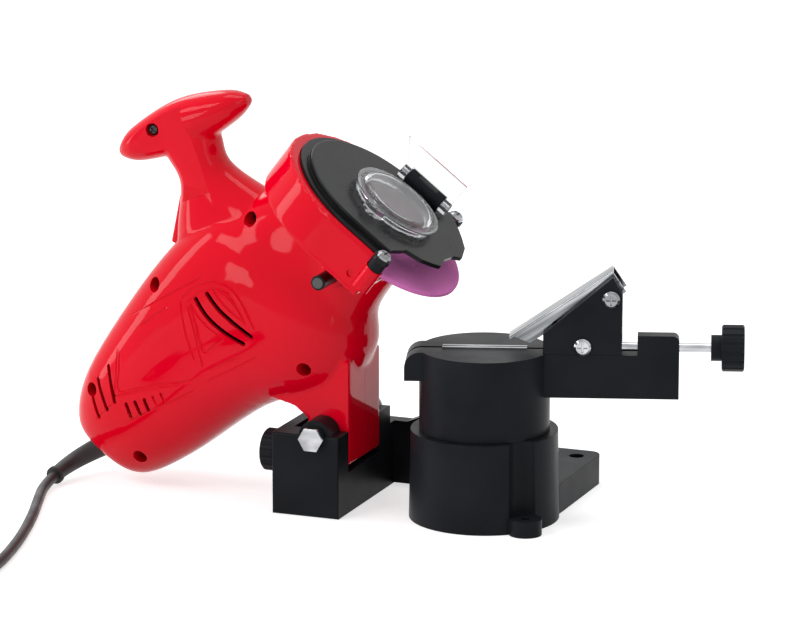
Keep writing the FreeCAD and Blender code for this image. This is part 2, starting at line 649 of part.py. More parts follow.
def pawl_pin_nut():
    nut = hexagon(PIN_NUT_AF, PIN_NUT_H, Vector(PAWL_PIN_X, RAIL_HALF, PAWL_PIN_Z), Y)
    return nut.cut(cylinder(SMALL_SCREW_R + FIT, PIN_NUT_H + 2, Vector(PAWL_PIN_X, RAIL_HALF - 1, PAWL_PIN_Z), Y))


def chain_pawl():
    """A folded steel channel: its roof runs down to the tip that stops the chain's tooth."""
    half = CHEEK_INNER - GAP - 0.05
    roof = box(0, PAWL_LENGTH, -half, half, -PAWL_SHEET, 0)
    sides = []
    for side in (-1, 1):
        y0, y1 = sorted((side * half, side * (half - PAWL_SHEET)))
        sides.append(prism_xz([(2, 0), (PAWL_LENGTH, 0), (PAWL_LENGTH, -PAWL_FLANGE - 5),
                               (PAWL_LENGTH - 14, -PAWL_FLANGE - 5), (PAWL_LENGTH - 19, -PAWL_FLANGE + 3),
                               (26, -PAWL_FLANGE + 3), (20, -PAWL_FLANGE), (8, -PAWL_FLANGE)], y0, y1))
    channel = roof.fuse(sides)
    bend = [e for e in channel.Edges
            if abs(e.CenterOfMass.z) < 0.01 and abs(abs(e.CenterOfMass.y) - half) < 0.01
            and e.Length > PAWL_LENGTH / 2]
    channel = channel.makeFillet(1.0, bend)
    channel.rotate(Vector(0, 0, 0), Y, -PAWL_ANGLE)
    channel.translate(Vector(PAWL_TIP_X, 0, PAWL_TIP_Z))
    pin = cylinder(SMALL_SCREW_R + FIT, 4 * half, Vector(PAWL_PIN_X, -2 * half, PAWL_PIN_Z), Y)
    return channel.cut(pin)


def advance_screw():
    start = Vector(CARRIER_RIGHT - ADVANCE_IN, ADVANCE_Y, ADVANCE_Z)
    return cylinder(ADVANCE_R, ADVANCE_DISC_LEFT + 6 - start.x, start, X)


def advance_knob():
    hub = cylinder(ADVANCE_HUB_R, ADVANCE_DISC_LEFT - ADVANCE_HUB_LEFT + 1,
                   Vector(ADVANCE_HUB_LEFT, ADVANCE_Y, ADVANCE_Z), X)
    disc = fluted_knob(ADVANCE_DISC_R, ADVANCE_KNOB_RIGHT - ADVANCE_DISC_LEFT,
                       Vector(ADVANCE_DISC_LEFT, ADVANCE_Y, ADVANCE_Z), X, flutes=16, flute_r=1.2)
    knob = disc.fuse(hub)
    return knob.cut(cylinder(ADVANCE_R + FIT, ADVANCE_DISC_LEFT + 6 - ADVANCE_HUB_LEFT + 1,
                             Vector(ADVANCE_HUB_LEFT - 1, ADVANCE_Y, ADVANCE_Z), X))


# ------------------------------------------------------------------ housing
def oval(centre, half_a, half_b, dir_a, dir_b, fullness=2.5, count=12):
    """A closed smooth superellipse through count points about centre."""
    points = []
    for i in range(count):
        angle = 2 * math.pi * i / count
        c, s = math.cos(angle), math.sin(angle)
        a = math.copysign(abs(c) ** (2 / fullness), c) * half_a
        b = math.copysign(abs(s) ** (2 / fullness), s) * half_b
        points.append(centre + dir_a * a + dir_b * b)
    curve = Part.BSplineCurve()
    curve.interpolate(Points=points, PeriodicFlag=True)
    return Part.Wire(curve.toShape())


# motor casing: u, lowest v, highest v and half depth of each section
CASING = ((-112.0, 84.0, 110.0, 11.0), (-105.0, 69.0, 124.5, 23.0), (-76.0, 55.5, 136.0, 33.5),
          (-20.0, 38.0, 140.5, 38.0), (20.0, 11.0, 139.5, 39.5), (46.0, 11.0, 134.0, 37.5),
          (66.0, 24.0, 122.0, 30.0), (90.0, 26.0, 110.0, 27.0))
HOLLOW = CASING[1:]


def casing(inset):
    """The motor casing's form, or its hollow when inset by the wall."""
    wires = []
    for u, low, high, half in HOLLOW if inset else CASING:
        centre = Vector(u, 0, (low + high) / 2)
        wires.append(oval(centre, half - inset, (high - low) / 2 - inset, Y, Z))
    return Part.makeLoft(wires, True, False)


STEM = ((114.0, -8.0, 46.0, 30.0), (138.0, -12.5, 31.0, 21.0), (162.0, -13.2, 16.0, 15.5),
        (178.0, -12.8, 16.8, 15.5), (192.0, -12.8, 20.0, 14.5))
GRIP = ((-70.5, 188.5, 3.5, 6.0), (-58.0, 189.5, 10.5, 13.5), (-26.0, 191.5, 15.0, 17.0),
        (4.0, 192.5, 9.5, 13.0), (16.5, 192.5, 3.0, 5.0))


def handle():
    """The T handle: a waisted stem and a tapered cross grip with a flat thumb facet."""
    a = math.radians(STEM_ANGLE)
    along, across = Vector(math.cos(a), 0, math.sin(a)), Vector(math.sin(a), 0, -math.cos(a))
    stem = Part.makeLoft([oval(along * s + across * c, half, depth, across, Y, 2.2)
                          for s, c, half, depth in STEM], True, False)
    b = math.radians(BAR_ANGLE)
    along, across = Vector(math.cos(b), 0, math.sin(b)), Vector(-math.sin(b), 0, math.cos(b))
    grip = Part.makeLoft([oval(along * g + across * c, half, depth, across, Y, 2.2)
                          for g, c, half, depth in GRIP], True, False)
    facet = box(-90, -20, -30, -13.0, 150, 230)
    facet.rotate(Vector(0, 0, 0), Y, -BAR_ANGLE)
    return stem.fuse(grip.cut(facet))


def arch(radius, end, back, front, v=OPENING_V):
    """An arch of the radius about v over straight sides down to end, from back to front along u."""
    top = Part.Arc(Vector(back, -radius, v), Vector(back, 0, v + radius), Vector(back, radius, v))
    left = Part.LineSegment(Vector(back, radius, v), Vector(back, radius, end))
    chord = Part.LineSegment(Vector(back, radius, end), Vector(back, -radius, end))
    right = Part.LineSegment(Vector(back, -radius, end), Vector(back, -radius, v))
    outline = Part.Wire([top.toShape(), left.toShape(), chord.toShape(), right.toShape()])
    return Part.Face(outline).extrude(Vector(front - back, 0, 0))


def guard():
    """The wheel guard's red drum, rounded at its back edge, open in front and below."""
    drum = arch(GUARD_R, GUARD_END, GUARD_BACK, GUARD_FRONT, GUARD_V)
    back = [e for e in drum.Edges
            if abs(e.BoundBox.XMax - GUARD_BACK) < 0.01 and e.CenterOfMass.z > GUARD_END + 1]
    front = [e for e in drum.Edges
             if abs(e.BoundBox.XMin - GUARD_FRONT) < 0.01 and e.CenterOfMass.z > GUARD_END + 1]
    return drum.makeFillet(GUARD_ROUND, back).makeFillet(2.0, front)


def foot():
    """The foot of the head that hangs between the pivot block's walls, in the spindle frame."""
    outline = [(LUG_RIGHT, LUG_BOTTOM + 3.5), (LUG_RIGHT, LUG_TOP), (-34, LUG_TOP), (-34, 17),
               (-19, 13.4), (LUG_LEFT, 7), (LUG_LEFT, LUG_BOTTOM), (6, LUG_BOTTOM)]
    lug = prism_xz(outline, -LUG_HALF, LUG_HALF)
    lug.rotate(Vector(0, 0, 0), Y, MOTOR_TILT)
    return lug


def round_slot(start, end, width, y0, y1):
    """A round-ended slot between two (u, v) points, cut along Y."""
    (u0, v0), (u1, v1) = start, end
    length = math.hypot(u1 - u0, v1 - v0)
    ends = [cylinder(width / 2, y1 - y0, Vector(s, y0, 0), Y) for s in (0, length)]
    slot = box(0, length, y0, y1, -width / 2, width / 2).fuse(ends)
    slot.rotate(Vector(0, 0, 0), Y, -math.degrees(math.atan2(v1 - v0, u1 - u0)))
    slot.translate(Vector(u0, 0, v0))
    return slot


def vents():
    """The fan's two long slots and the commutator's six short ones, on both sides."""
    slots = []
    for side in (-1, 1):
        for lines, width, inner in ((FAN_SLOTS, FAN_SLOT_WIDE, FAN_SLOT_INNER),
                                    (REAR_SLOTS, REAR_SLOT_WIDE, REAR_SLOT_INNER)):
            y0, y1 = sorted((side * inner, side * 2 * HALF_DEPTH))
            slots += [round_slot(start, end, width, y0, y1) for start, end in lines]
    return slots


def tower(side, inner, width, thick):
    """The block that holds one brush holder against the casing's wall."""
    y0, y1 = sorted((side * inner, side * HALF_DEPTH))
    return box(BRUSH_U - width / 2, BRUSH_U + width / 2, y0, y1, MOTOR_V - thick / 2, MOTOR_V + thick / 2)


def hollow():
    """The casing's inside with the ribs, screw pillars and brush towers left standing."""
    tall = 2 * MOTOR_V
    solid = [box(u0, u1, -HALF_DEPTH, HALF_DEPTH, -1, tall)
             for u0, u1 in ((REAR_BEARING_BACK - LIP, REAR_BEARING_BACK + REAR_BEARING_THICK + LIP),
                            (STATOR_BACK + LIP, STATOR_BACK + LIP + RIB),
                            (STATOR_BACK + STATOR_LENGTH - LIP - RIB, STATOR_BACK + STATOR_LENGTH - LIP),
                            (BEARING_BACK - LIP, BEARING_BACK + BEARING_THICK + LIP),
                            (FRONT_BEARING_BACK - LIP, FRONT_BEARING_BACK + FRONT_BEARING_THICK + LIP))]
    for u, v in BOSSES:
        solid.append(cylinder(BOSS_R, 2 * HALF_DEPTH, Vector(u, -HALF_DEPTH, v), Y))
    for side in (-1, 1):
        solid.append(tower(side, HOLDER_START + RIB, BRUSH_WIDE + 4 * WALL, BRUSH_THICK + 4 * WALL))
    solid.append(cylinder(LOCK_COLLAR_R, HALF_DEPTH, Vector(LOCK_U, -LOCK_BOSS, SPINDLE_V), -Y))
    return casing(WALL).cut(solid)


def works_seats():
    """The bores and pockets that hold the bearings, the stator, the brushes and the shafts."""
    room = SHAFT_ROOM
    cuts = [cylinder(STATOR_R + SEAT, STATOR_LENGTH + 2 * SEAT, Vector(STATOR_BACK - SEAT, 0, MOTOR_V), X),
            cylinder(REAR_BEARING_R + SEAT, REAR_BEARING_THICK + 2 * SEAT,
                     Vector(REAR_BEARING_BACK - SEAT, 0, MOTOR_V), X),
            cylinder(ROTOR_R + room, ROTOR_FRONT - ROTOR_BACK + 2 * room,
                     Vector(ROTOR_BACK - room, 0, MOTOR_V), X),
            cylinder(FRONT_BEARING_R + SEAT, FRONT_BEARING_THICK + 2 * SEAT,
                     Vector(FRONT_BEARING_BACK - SEAT, 0, SPINDLE_V), X),
            cylinder(SPINDLE_GEAR_R + room, GUARD_FLOOR - SPINDLE_BACK + 2 * room,
                     Vector(SPINDLE_BACK - room, 0, SPINDLE_V), X)]
    for v in (MOTOR_V, SPINDLE_V):
        cuts.append(cylinder(BEARING_R + SEAT, BEARING_THICK + 2 * SEAT,
                             Vector(BEARING_BACK - SEAT, 0, v), X))
    for side in (-1, 1):
        y0, y1 = sorted((side * HOLDER_START, side * (HOLDER_END + SEAT)))
        half_u = BRUSH_WIDE / 2 + HOLDER_WALL + SEAT
        half_v = BRUSH_THICK / 2 + HOLDER_WALL + SEAT
        cuts.append(box(BRUSH_U - half_u, BRUSH_U + half_u, y0, y1, MOTOR_V - half_v, MOTOR_V + half_v))
    return cuts


def screw_cuts():
    """For each housing screw a deep head pocket in the front shell and a bore through both."""
    cuts = []
    for u, v in BOSSES:
        cuts.append(cylinder(HEAD_POCKET_R, 2 * HALF_DEPTH, Vector(u, -SCREW_SEAT, v), -Y))
        cuts.append(cylinder(HOUSE_SCREW_R + FIT, SCREW_SEAT + SCREW_REACH + 1, Vector(u, -SCREW_SEAT, v), Y))
    return cuts


def on_paddle(shape):
    """From the paddle's own frame, its face up and at the origin, to the handle's left side."""
    shape.rotate(Vector(0, 0, 0), Y, -SWITCH_ANGLE)
    shape.translate(Vector(SWITCH_U, 0, SWITCH_V))
    return shape


def paddle_block(gap, length, wide, top, bottom):
    return on_paddle(box(-length / 2 - gap, length / 2 + gap, -wide / 2 - gap, wide / 2 + gap, bottom, top))


def guard_ear(side, radius, back, front):
    """A round piece on one of the two cover screws' lines."""
    return cylinder(radius, front - back, Vector(back, side * COVER_SCREW_Y, COVER_SCREW_V), X)


def relief_curve(t):
    """Centre and direction of the strain relief at t from 0 (root) to 1 (tip)."""
    point = RELIEF_ROOT * (1 - t) ** 2 + RELIEF_BEND * (2 * t * (1 - t)) + RELIEF_TIP * t ** 2
    heading = (RELIEF_BEND - RELIEF_ROOT) * (1 - t) + (RELIEF_TIP - RELIEF_BEND) * t
    return point, heading.normalize()


def relief_socket(extra):
    """The round root of the strain relief in the casing's end, drawn on the bench."""
    start, heading = relief_curve(0)
    return cylinder(RELIEF_ROOT_R + extra, RELIEF_SEAT + 2 * extra, start - heading * (RELIEF_SEAT + extra), heading)


def relief_sleeve(extra, stop, rings):
    """The bent, tapering sleeve from its root to a share of its length, grown by extra."""
    wires = []
    for i in range(rings):
        t = stop * i / (rings - 1)
        point, heading = relief_curve(t)
        radius = RELIEF_ROOT_R + (RELIEF_TIP_R - RELIEF_ROOT_R) * t + extra
        wires.append(Part.Wire(Part.makeCircle(radius, point, heading)))
    return Part.makeLoft(wires, True, False)


def housing():
    """The red housing before it is parted: casing, handle, wheel guard and foot."""
    collar = cylinder(LOCK_COLLAR_R, LOCK_COLLAR_END, Vector(LOCK_U, 0, SPINDLE_V), -Y)
    body = casing(0).fuse([handle(), guard(), foot(), collar])
    cuts = [hollow(), arch(GUARD_OPENING_R, GUARD_END - 1, GUARD_FLOOR, GUARD_FRONT + 1)]
    cuts += works_seats() + screw_cuts() + vents()
    # pivot, spindle lock, switch and the notches that show the cover's spacers
    cuts.append(cylinder(BOLT_R + FIT, 2 * LUG_HALF + 2, Vector(0, -LUG_HALF - 1, 0), Y))
    cuts.append(cylinder(LOCK_R + FIT, HALF_DEPTH, Vector(LOCK_U, -LOCK_BORE_END, SPINDLE_V), -Y))
    cuts.append(cylinder(LOCK_PIN_R + FIT, LOCK_BORE_END + 1, Vector(LOCK_U, 0, SPINDLE_V), -Y))
    cuts.append(paddle_block(GAP, PADDLE_LENGTH, PADDLE_WIDE, PADDLE_DEEP, -PADDLE_DEEP - PADDLE_TRAVEL))
    long, wide, deep = SWITCH_BODY
    cuts.append(paddle_block(SEAT, long, wide, -PADDLE_DEEP, -PADDLE_DEEP - PADDLE_TRAVEL - deep))
    ears = []
    for side in (-1, 1):
        y0, y1 = sorted((side * (COVER_SCREW_Y - COVER_EAR_R), side * (GUARD_R + 1)))
        cuts.append(box(SPACER_BACK, GUARD_FRONT + 1, y0, y1, GUARD_END - 1, COVER_SCREW_V + COVER_EAR_R))
        ears.append(guard_ear(side, COVER_EAR_R, GUARD_BACK + GUARD_ROUND, SPACER_BACK))
    body = body.cut(cuts).fuse(ears)
    bores = [guard_ear(side, COVER_SCREW_R + FIT, SPACER_BACK - COVER_SCREW_DEEP - 1, SPACER_BACK + 1)
             for side in (-1, 1)]
    body = on_head(in_motor(body.cut(bores)))
    return body.cut([relief_socket(SEAT), relief_sleeve(2 * SEAT, RELIEF_MOUTH, 3)])


def housing_shell(body, side):
    """The front (-1) or rear (+1) half of the housing."""
    y0, y1 = sorted((0, side * 3 * HALF_DEPTH))
    return body.common(box(-400, 200, y0, y1, -50, 400))


def house_screw(u, v):
    seat = Vector(u, -SCREW_SEAT, v)
    shank = cylinder(HOUSE_SCREW_R, SCREW_SEAT + SCREW_REACH, seat, Y)
    return on_head(in_motor(pan_head(HOUSE_HEAD_R, HOUSE_HEAD_H, seat, -Y).fuse(shank)))


# ------------------------------------------------------------------ wheel, cover and shield
def ring(outer, inner, back, front, v=SPINDLE_V):
    """A plain ring on the spindle's or the motor's axis."""
    disc = cylinder(outer, front - back, Vector(back, 0, v), X)
    return disc.cut(cylinder(inner, front - back + 2, Vector(back - 1, 0, v), X))


INNER_FLANGE_BACK = WHEEL_FACE - WHEEL_THICK - INNER_FLANGE_THICK


def spindle():
    """The spindle, stepped down to its thread, with the lock's cross holes in its collar."""
    steps = ((SPINDLE_BACK, SPINDLE_R), (SPINDLE_STEP, SPINDLE_GEAR_R), (LOCK_U - LOCK_COLLAR_R, SPINDLE_COLLAR_R),
             (LOCK_U + LOCK_COLLAR_R, SPINDLE_GEAR_R), (INNER_FLANGE_BACK, SPINDLE_R),
             (WHEEL_FACE, SPINDLE_THREAD_R),
             (WHEEL_FACE + CLAMP_FLANGE_THICK + SPINDLE_NUT_H + SPINDLE_TAIL, 0))
    parts = [cylinder(radius, end - start, Vector(start, 0, SPINDLE_V), X)
             for (start, radius), (end, _) in zip(steps, steps[1:])]
    body = parts[0].fuse(parts[1:])
    hole = LOCK_PIN_R + GAP
    cuts = [cylinder(hole, 4 * SPINDLE_COLLAR_R, Vector(LOCK_U, 0, SPINDLE_V) - axis * 2 * SPINDLE_COLLAR_R, axis)
            for axis in (Y, Z)]
    return on_head(in_motor(body.cut(cuts)))


def inner_flange():
    back = WHEEL_FACE - WHEEL_THICK
    disc = ring(CLAMP_FLANGE_R, SPINDLE_R + FIT, INNER_FLANGE_BACK, back)
    spigot = ring(WHEEL_BORE_R - FIT, SPINDLE_R + FIT, back - 1, WHEEL_FACE - GAP)
    relief = ring(CLAMP_FLANGE_R - 4, WHEEL_BORE_R + 1.5, back - 0.8, back + 1)
    return on_head(in_motor(disc.fuse(spigot).cut(relief)))


def grinding_wheel():
    wheel = ring(WHEEL_R, WHEEL_BORE_R, WHEEL_FACE - WHEEL_THICK, WHEEL_FACE)
    rim = [e for e in wheel.Edges if abs(e.Length - 2 * math.pi * WHEEL_R) < 0.1]
    return on_head(in_motor(wheel.makeFillet(1.0, rim)))


def outer_flange():
    disc = ring(CLAMP_FLANGE_R, SPINDLE_THREAD_R + FIT, WHEEL_FACE, WHEEL_FACE + CLAMP_FLANGE_THICK)
    rim = [e for e in disc.Edges if e.BoundBox.XMin > WHEEL_FACE + 1 and e.BoundBox.YMax > CLAMP_FLANGE_R - 1]
    return on_head(in_motor(disc.makeChamfer(1.0, rim)))


def spindle_nut():
    seat = Vector(WHEEL_FACE + CLAMP_FLANGE_THICK, 0, SPINDLE_V)
    nut = hexagon(NUT_AF, SPINDLE_NUT_H, seat, X)
    return on_head(in_motor(nut.cut(cylinder(SPINDLE_THREAD_R + FIT, SPINDLE_NUT_H + 2, seat - X, X))))


def wheel_cover():
    """The black cover: a raised arched face with a notched chin, a ledge round it and a skirt."""
    radius = GUARD_OPENING_R - GAP
    plate_back = COVER_TOP - COVER_WALL
    ledge_back = COVER_SHOULDER - COVER_WALL
    face = arch(COVER_FACE_R, CHIN[0][1], plate_back, COVER_TOP)
    rim = [e for e in face.Edges if e.BoundBox.XMin > COVER_TOP - 0.01 and e.CenterOfMass.z > CHIN[0][1] + 1]
    face = face.makeFillet(COVER_EDGE, rim)
    chin = prism_yz(CHIN + [(CHIN[-1][0], CHIN[-1][1] + 1), (CHIN[0][0], CHIN[0][1] + 1)], plate_back, COVER_TOP)
    wall = arch(COVER_FACE_R, COVER_SKIRT_LOW, ledge_back, plate_back + COVER_EDGE).cut(
        arch(COVER_FACE_R - COVER_WALL, COVER_SKIRT_LOW - 1, ledge_back - 1, COVER_TOP))
    ledge = arch(radius, COVER_SCREW_V, ledge_back, COVER_SHOULDER)
    skirt = arch(radius, COVER_SKIRT_LOW, COVER_SKIRT_BACK, COVER_SHOULDER).cut(
        arch(radius - COVER_WALL, COVER_SKIRT_LOW - 1, COVER_SKIRT_BACK - 1, COVER_TOP))
    ledge = ledge.cut(arch(COVER_FACE_R - COVER_WALL, COVER_SCREW_V - 1, ledge_back - 1, COVER_TOP))
    ears = [guard_ear(side, COVER_EAR_R, ledge_back, COVER_SHOULDER) for side in (-1, 1)]
    # short posts tie the ledge's lower ends to the face over them
    posts = []
    for side in (-1, 1):
        y0, y1 = sorted((side * (COVER_FACE_R - COVER_WALL), side * COVER_FACE_R))
        posts.append(box(ledge_back, plate_back + COVER_EDGE, y0, y1, CHIN[0][1], COVER_SKIRT_LOW + 1))
    cuts = [cylinder(COVER_HOLE_R, COVER_TOP, Vector(1, 0, CAP_V), X)]
    cuts += [guard_ear(side, COVER_SCREW_R + FIT, ledge_back - 1, COVER_TOP + 1) for side in (-1, 1)]
    return on_head(in_motor(face.fuse([chin, wall, ledge, skirt] + ears + posts).cut(cuts)))


def cover_spacer(side):
    front = COVER_SHOULDER - COVER_WALL
    outer = guard_ear(side, SPACER_R, SPACER_BACK, front)
    return on_head(in_motor(outer.cut(guard_ear(side, COVER_SCREW_R + FIT, SPACER_BACK - 1, front + 1))))


def cover_screw(side):
    seat = Vector(COVER_SHOULDER, side * COVER_SCREW_Y, COVER_SCREW_V)
    shank = guard_ear(side, COVER_SCREW_R, SPACER_BACK - COVER_SCREW_DEEP, COVER_SHOULDER)
    return on_head(in_motor(pan_head(COVER_HEAD_R, SMALL_HEAD_H, seat, X).fuse(shank)))


def hub_cap():
    """The clear cap over the nut: a collar that lifts a flange, a low dome and a thumb lobe."""
    seat = Vector(COVER_TOP, 0, CAP_V)
    brim = Vector(COVER_TOP + CAP_COLLAR, 0, CAP_V)
    collar = cylinder(CAP_COLLAR_R, CAP_COLLAR + CAP_FLANGE, seat, X)
    lobe = cylinder(CAP_LOBE_R, CAP_COLLAR + CAP_FLANGE, seat + Vector(0, CAP_LOBE_Y, CAP_LOBE_V), X)
    flange = cylinder(CAP_R, CAP_FLANGE, brim, X)
    dome = cylinder(CAP_DOME_R, CAP_FLANGE + CAP_DOME, brim, X)
    top = [e for e in dome.Edges if e.BoundBox.XMin > brim.x + CAP_FLANGE + CAP_DOME - 0.1]
    dome = dome.makeFillet(CAP_DOME * 0.9, top)
    inner = cylinder(CAP_DOME_R - CAP_WALL, CAP_COLLAR + CAP_FLANGE + CAP_DOME - CAP_WALL, seat, X)
    inner_top = [e for e in inner.Edges if e.BoundBox.XMin > seat.x + 1]
    inner = inner.makeFillet(CAP_DOME * 0.6, inner_top)
    return on_head(in_motor(collar.fuse([lobe, flange, dome]).cut(inner)))


def bar_piece(radius, low, high):
    """A round piece on the eye shield's hinge line."""
    return cylinder(radius, high - low, Vector(COVER_TOP + CLAMP_BAR_U, CLAMP_BAR_Y, low), Z)


def shield_clamp():
    """The black knuckle on the cover that carries the eye shield's pin."""
    bar = bar_piece(CLAMP_BAR_R, CLAMP_BAR_LOW, CLAMP_BAR_HIGH)
    ends = [e for e in bar.Edges if e.Curve.TypeId == "Part::GeomCircle"]
    bar = bar.makeChamfer(0.6, ends)
    below = box(COVER_TOP - CLAMP_BAR_R, COVER_TOP, CLAMP_BAR_Y - CLAMP_BAR_R - 1,
                CLAMP_BAR_Y + CLAMP_BAR_R + 1, CLAMP_BAR_LOW - 1, CLAMP_BAR_HIGH + 1)
    middle = (CLAMP_BAR_LOW + CLAMP_BAR_HIGH) / 2
    top = COVER_TOP + CLAMP_BAR_U + CLAMP_BAR_R
    waist = box(top - CLAMP_WAIST, top + 1, CLAMP_BAR_Y - CLAMP_BAR_R, CLAMP_BAR_Y + CLAMP_BAR_R,
                middle - CLAMP_WAIST_HALF, middle + CLAMP_WAIST_HALF)
    bore = bar_piece(SHIELD_PIN_R, CLAMP_BAR_LOW - 1, CLAMP_BAR_HIGH + 1)
    return on_head(in_motor(bar.cut([below, waist, bore])))


def shield_pin():
    return on_head(in_motor(bar_piece(SHIELD_PIN_R, CLAMP_BAR_LOW - SHIELD_EAR, CLAMP_BAR_HIGH + SHIELD_EAR)))


def eye_shield():
    """A clear bowed flap that stands up from the knuckle on a ring at each of its ends."""
    axis_u = COVER_TOP + CLAMP_BAR_U
    low, high = CLAMP_BAR_LOW - SHIELD_EAR, CLAMP_BAR_HIGH + SHIELD_EAR
    centre = Vector(axis_u, CLAMP_BAR_Y + SHIELD_BOW, low - 1)
    sheet = cylinder(SHIELD_BOW + SHIELD_THICK / 2, high - low + SHIELD_FLARE + 2, centre, Z)
    sheet = sheet.cut(cylinder(SHIELD_BOW - SHIELD_THICK / 2, high - low + SHIELD_FLARE + 4, centre - Z, Z))
    foot_u = axis_u + CLAMP_BAR_R + GAP
    tip_u = axis_u + SHIELD_REACH
    outline = [(axis_u, low), (foot_u, low), (tip_u, low), (tip_u, high + SHIELD_FLARE), (foot_u, high), (axis_u, high)]
    keep = prism_xz(outline, CLAMP_BAR_Y - CLAMP_BAR_R, CLAMP_BAR_Y + SHIELD_BOW / 2)
    notch = box(axis_u - 1, foot_u, CLAMP_BAR_Y - SHIELD_BOW, CLAMP_BAR_Y + SHIELD_BOW,
                CLAMP_BAR_LOW - GAP, CLAMP_BAR_HIGH + GAP)
    rings = [bar_piece(SHIELD_RING_R, low, CLAMP_BAR_LOW - GAP), bar_piece(SHIELD_RING_R, CLAMP_BAR_HIGH + GAP, high)]
    bore = bar_piece(SHIELD_PIN_R + FIT, low - 1, high + 1)
    return on_head(in_motor(sheet.common(keep).cut(notch).fuse(rings).cut(bore)))


def lock_button():
    """The spindle lock's button, bored for the head of its pin."""
    stem = cylinder(LOCK_R, LOCK_END - LOCK_SHOULDER, Vector(LOCK_U, -LOCK_SHOULDER, SPINDLE_V), -Y)
    tip = [e for e in stem.Edges if e.BoundBox.YMax < -LOCK_END + 0.1]
    bore = cylinder(LOCK_PIN_R, LOCK_HEAD + 1, Vector(LOCK_U, 1 - LOCK_SHOULDER, SPINDLE_V), -Y)
    return on_head(in_motor(stem.makeFillet(0.8, tip).cut(bore)))


def lock_pin():
    """The steel pin that the button pushes into the spindle's collar."""
    length = LOCK_SHOULDER + LOCK_HEAD - LOCK_TIP
    return on_head(in_motor(cylinder(LOCK_PIN_R, length, Vector(LOCK_U, -LOCK_TIP, SPINDLE_V), -Y)))


def switch_paddle():
    """The red paddle of the hold-to-run switch, proud of the handle's left side."""
    block = box(-PADDLE_LENGTH / 2, PADDLE_LENGTH / 2, -PADDLE_WIDE / 2, PADDLE_WIDE / 2, -PADDLE_DEEP, PADDLE_PROUD)
    rims = [e for e in block.Edges if e.BoundBox.ZMin > PADDLE_PROUD - 0.1]
    stem = cylinder(SWITCH_STEM_R, SWITCH_STEM, Vector(0, 0, -PADDLE_DEEP), -Z)
    return on_head(in_motor(on_paddle(block.makeFillet(2.0, rims).fuse(stem))))


def switch_body():
    """The switch under the paddle, bored for the paddle's stem."""
    long, wide, deep = SWITCH_BODY
    low = -PADDLE_DEEP - PADDLE_TRAVEL - deep
    body = box(-long / 2, long / 2, -wide / 2, wide / 2, low, -PADDLE_DEEP - PADDLE_TRAVEL - GAP)
    bore = cylinder(SWITCH_STEM_R + FIT, SWITCH_STEM + PADDLE_TRAVEL + GAP, Vector(0, 0, -PADDLE_DEEP), -Z)
    return on_head(in_motor(on_paddle(body.cut(bore))))


# ------------------------------------------------------------------ motor and gears
def gear(teeth, bore, back, front, v, phase):
    """A spur gear with straight-flanked teeth, turned by phase teeth about its axis."""
    step = 2 * math.pi / teeth
    pitch = math.pi * MODULE
    corners = []
    for i in range(teeth):
        for radius, half in ((teeth / 2 - 1.25, -TOOTH_ROOT), (teeth / 2 + 1, -TOOTH_TIP),
                             (teeth / 2 + 1, TOOTH_TIP), (teeth / 2 - 1.25, TOOTH_ROOT)):
            angle = (i + phase) * step + half * pitch / (teeth / 2 * MODULE)
            corners.append(Vector(back, math.cos(angle) * radius * MODULE, v + math.sin(angle) * radius * MODULE))
    blank = Part.Face(Part.makePolygon(corners + corners[:1])).extrude(Vector(front - back, 0, 0))
    return on_head(in_motor(blank.cut(cylinder(bore, front - back + 2, Vector(back - 1, 0, v), X))))


def sector(outer, inner, back, front, start, sweep):
    """A ring sector on the motor's axis; its angles are counted from +v towards +y."""
    piece = Part.makeCylinder(outer, front - back, Vector(0, 0, 0), Z, sweep)
    piece = piece.cut(cylinder(inner, front - back + 2, Vector(0, 0, -1), Z))
    piece.rotate(Vector(0, 0, 0), Z, start + 180)
    piece.rotate(Vector(0, 0, 0), Y, 90)
    piece.translate(Vector(back, 0, MOTOR_V))
    return piece


COIL_OUTER = STATOR_R - 3.5
COIL_INNER = CORE_R + AIR_GAP + 1.5


def stator():
    """The laminated field: a ring with two poles and the four windows of their coils."""
    front = STATOR_BACK + STATOR_LENGTH
    body = ring(STATOR_R, CORE_R + AIR_GAP, STATOR_BACK, front, MOTOR_V)
    windows = [sector(COIL_OUTER + SEAT, COIL_INNER - 2, STATOR_BACK - 1, front + 1, side + turn, 20)
               for side in (0, 180) for turn in (-68, 48)]
    return on_head(in_motor(body.cut(windows)))


def field_coils():
    """One loop of wire about each pole, through the stator's windows."""
    front = STATOR_BACK + STATOR_LENGTH
    loops = []
    for side in (0, 180):
        loop = sector(COIL_OUTER, COIL_INNER, STATOR_BACK - COIL_LENGTH, front + COIL_LENGTH, side - 66, 132)
        core = sector(COIL_OUTER + 1, COIL_INNER - 1, STATOR_BACK - SEAT, front + SEAT, side - 50, 100)
        loops.append(on_head(in_motor(loop.cut(core))))
    return loops


def armature_shaft():
    front = cylinder(ROTOR_R, ROTOR_FRONT - REAR_BEARING_BACK - REAR_BEARING_THICK - LIP,
                     Vector(REAR_BEARING_BACK + REAR_BEARING_THICK + LIP, 0, MOTOR_V), X)
    stub = cylinder(ROTOR_STUB_R, REAR_BEARING_THICK + LIP + REAR_BEARING_BACK - ROTOR_BACK,
                    Vector(ROTOR_BACK, 0, MOTOR_V), X)
    return on_head(in_motor(front.fuse(stub)))


def slotted(outer, inner, back, front, count, depth, width):
    """A ring on the motor's axis with count straight slots round its rim."""
    body = ring(outer, inner, back, front, MOTOR_V)
    cuts = []
    for i in range(count):
        cut = box(back - 1, front + 1, -width / 2, width / 2, outer - depth, outer + 1)
        cut.rotate(Vector(0, 0, 0), X, 360 * i / count)
        cut.translate(Vector(0, 0, MOTOR_V))
        cuts.append(cut)
    return on_head(in_motor(body.cut(cuts)))


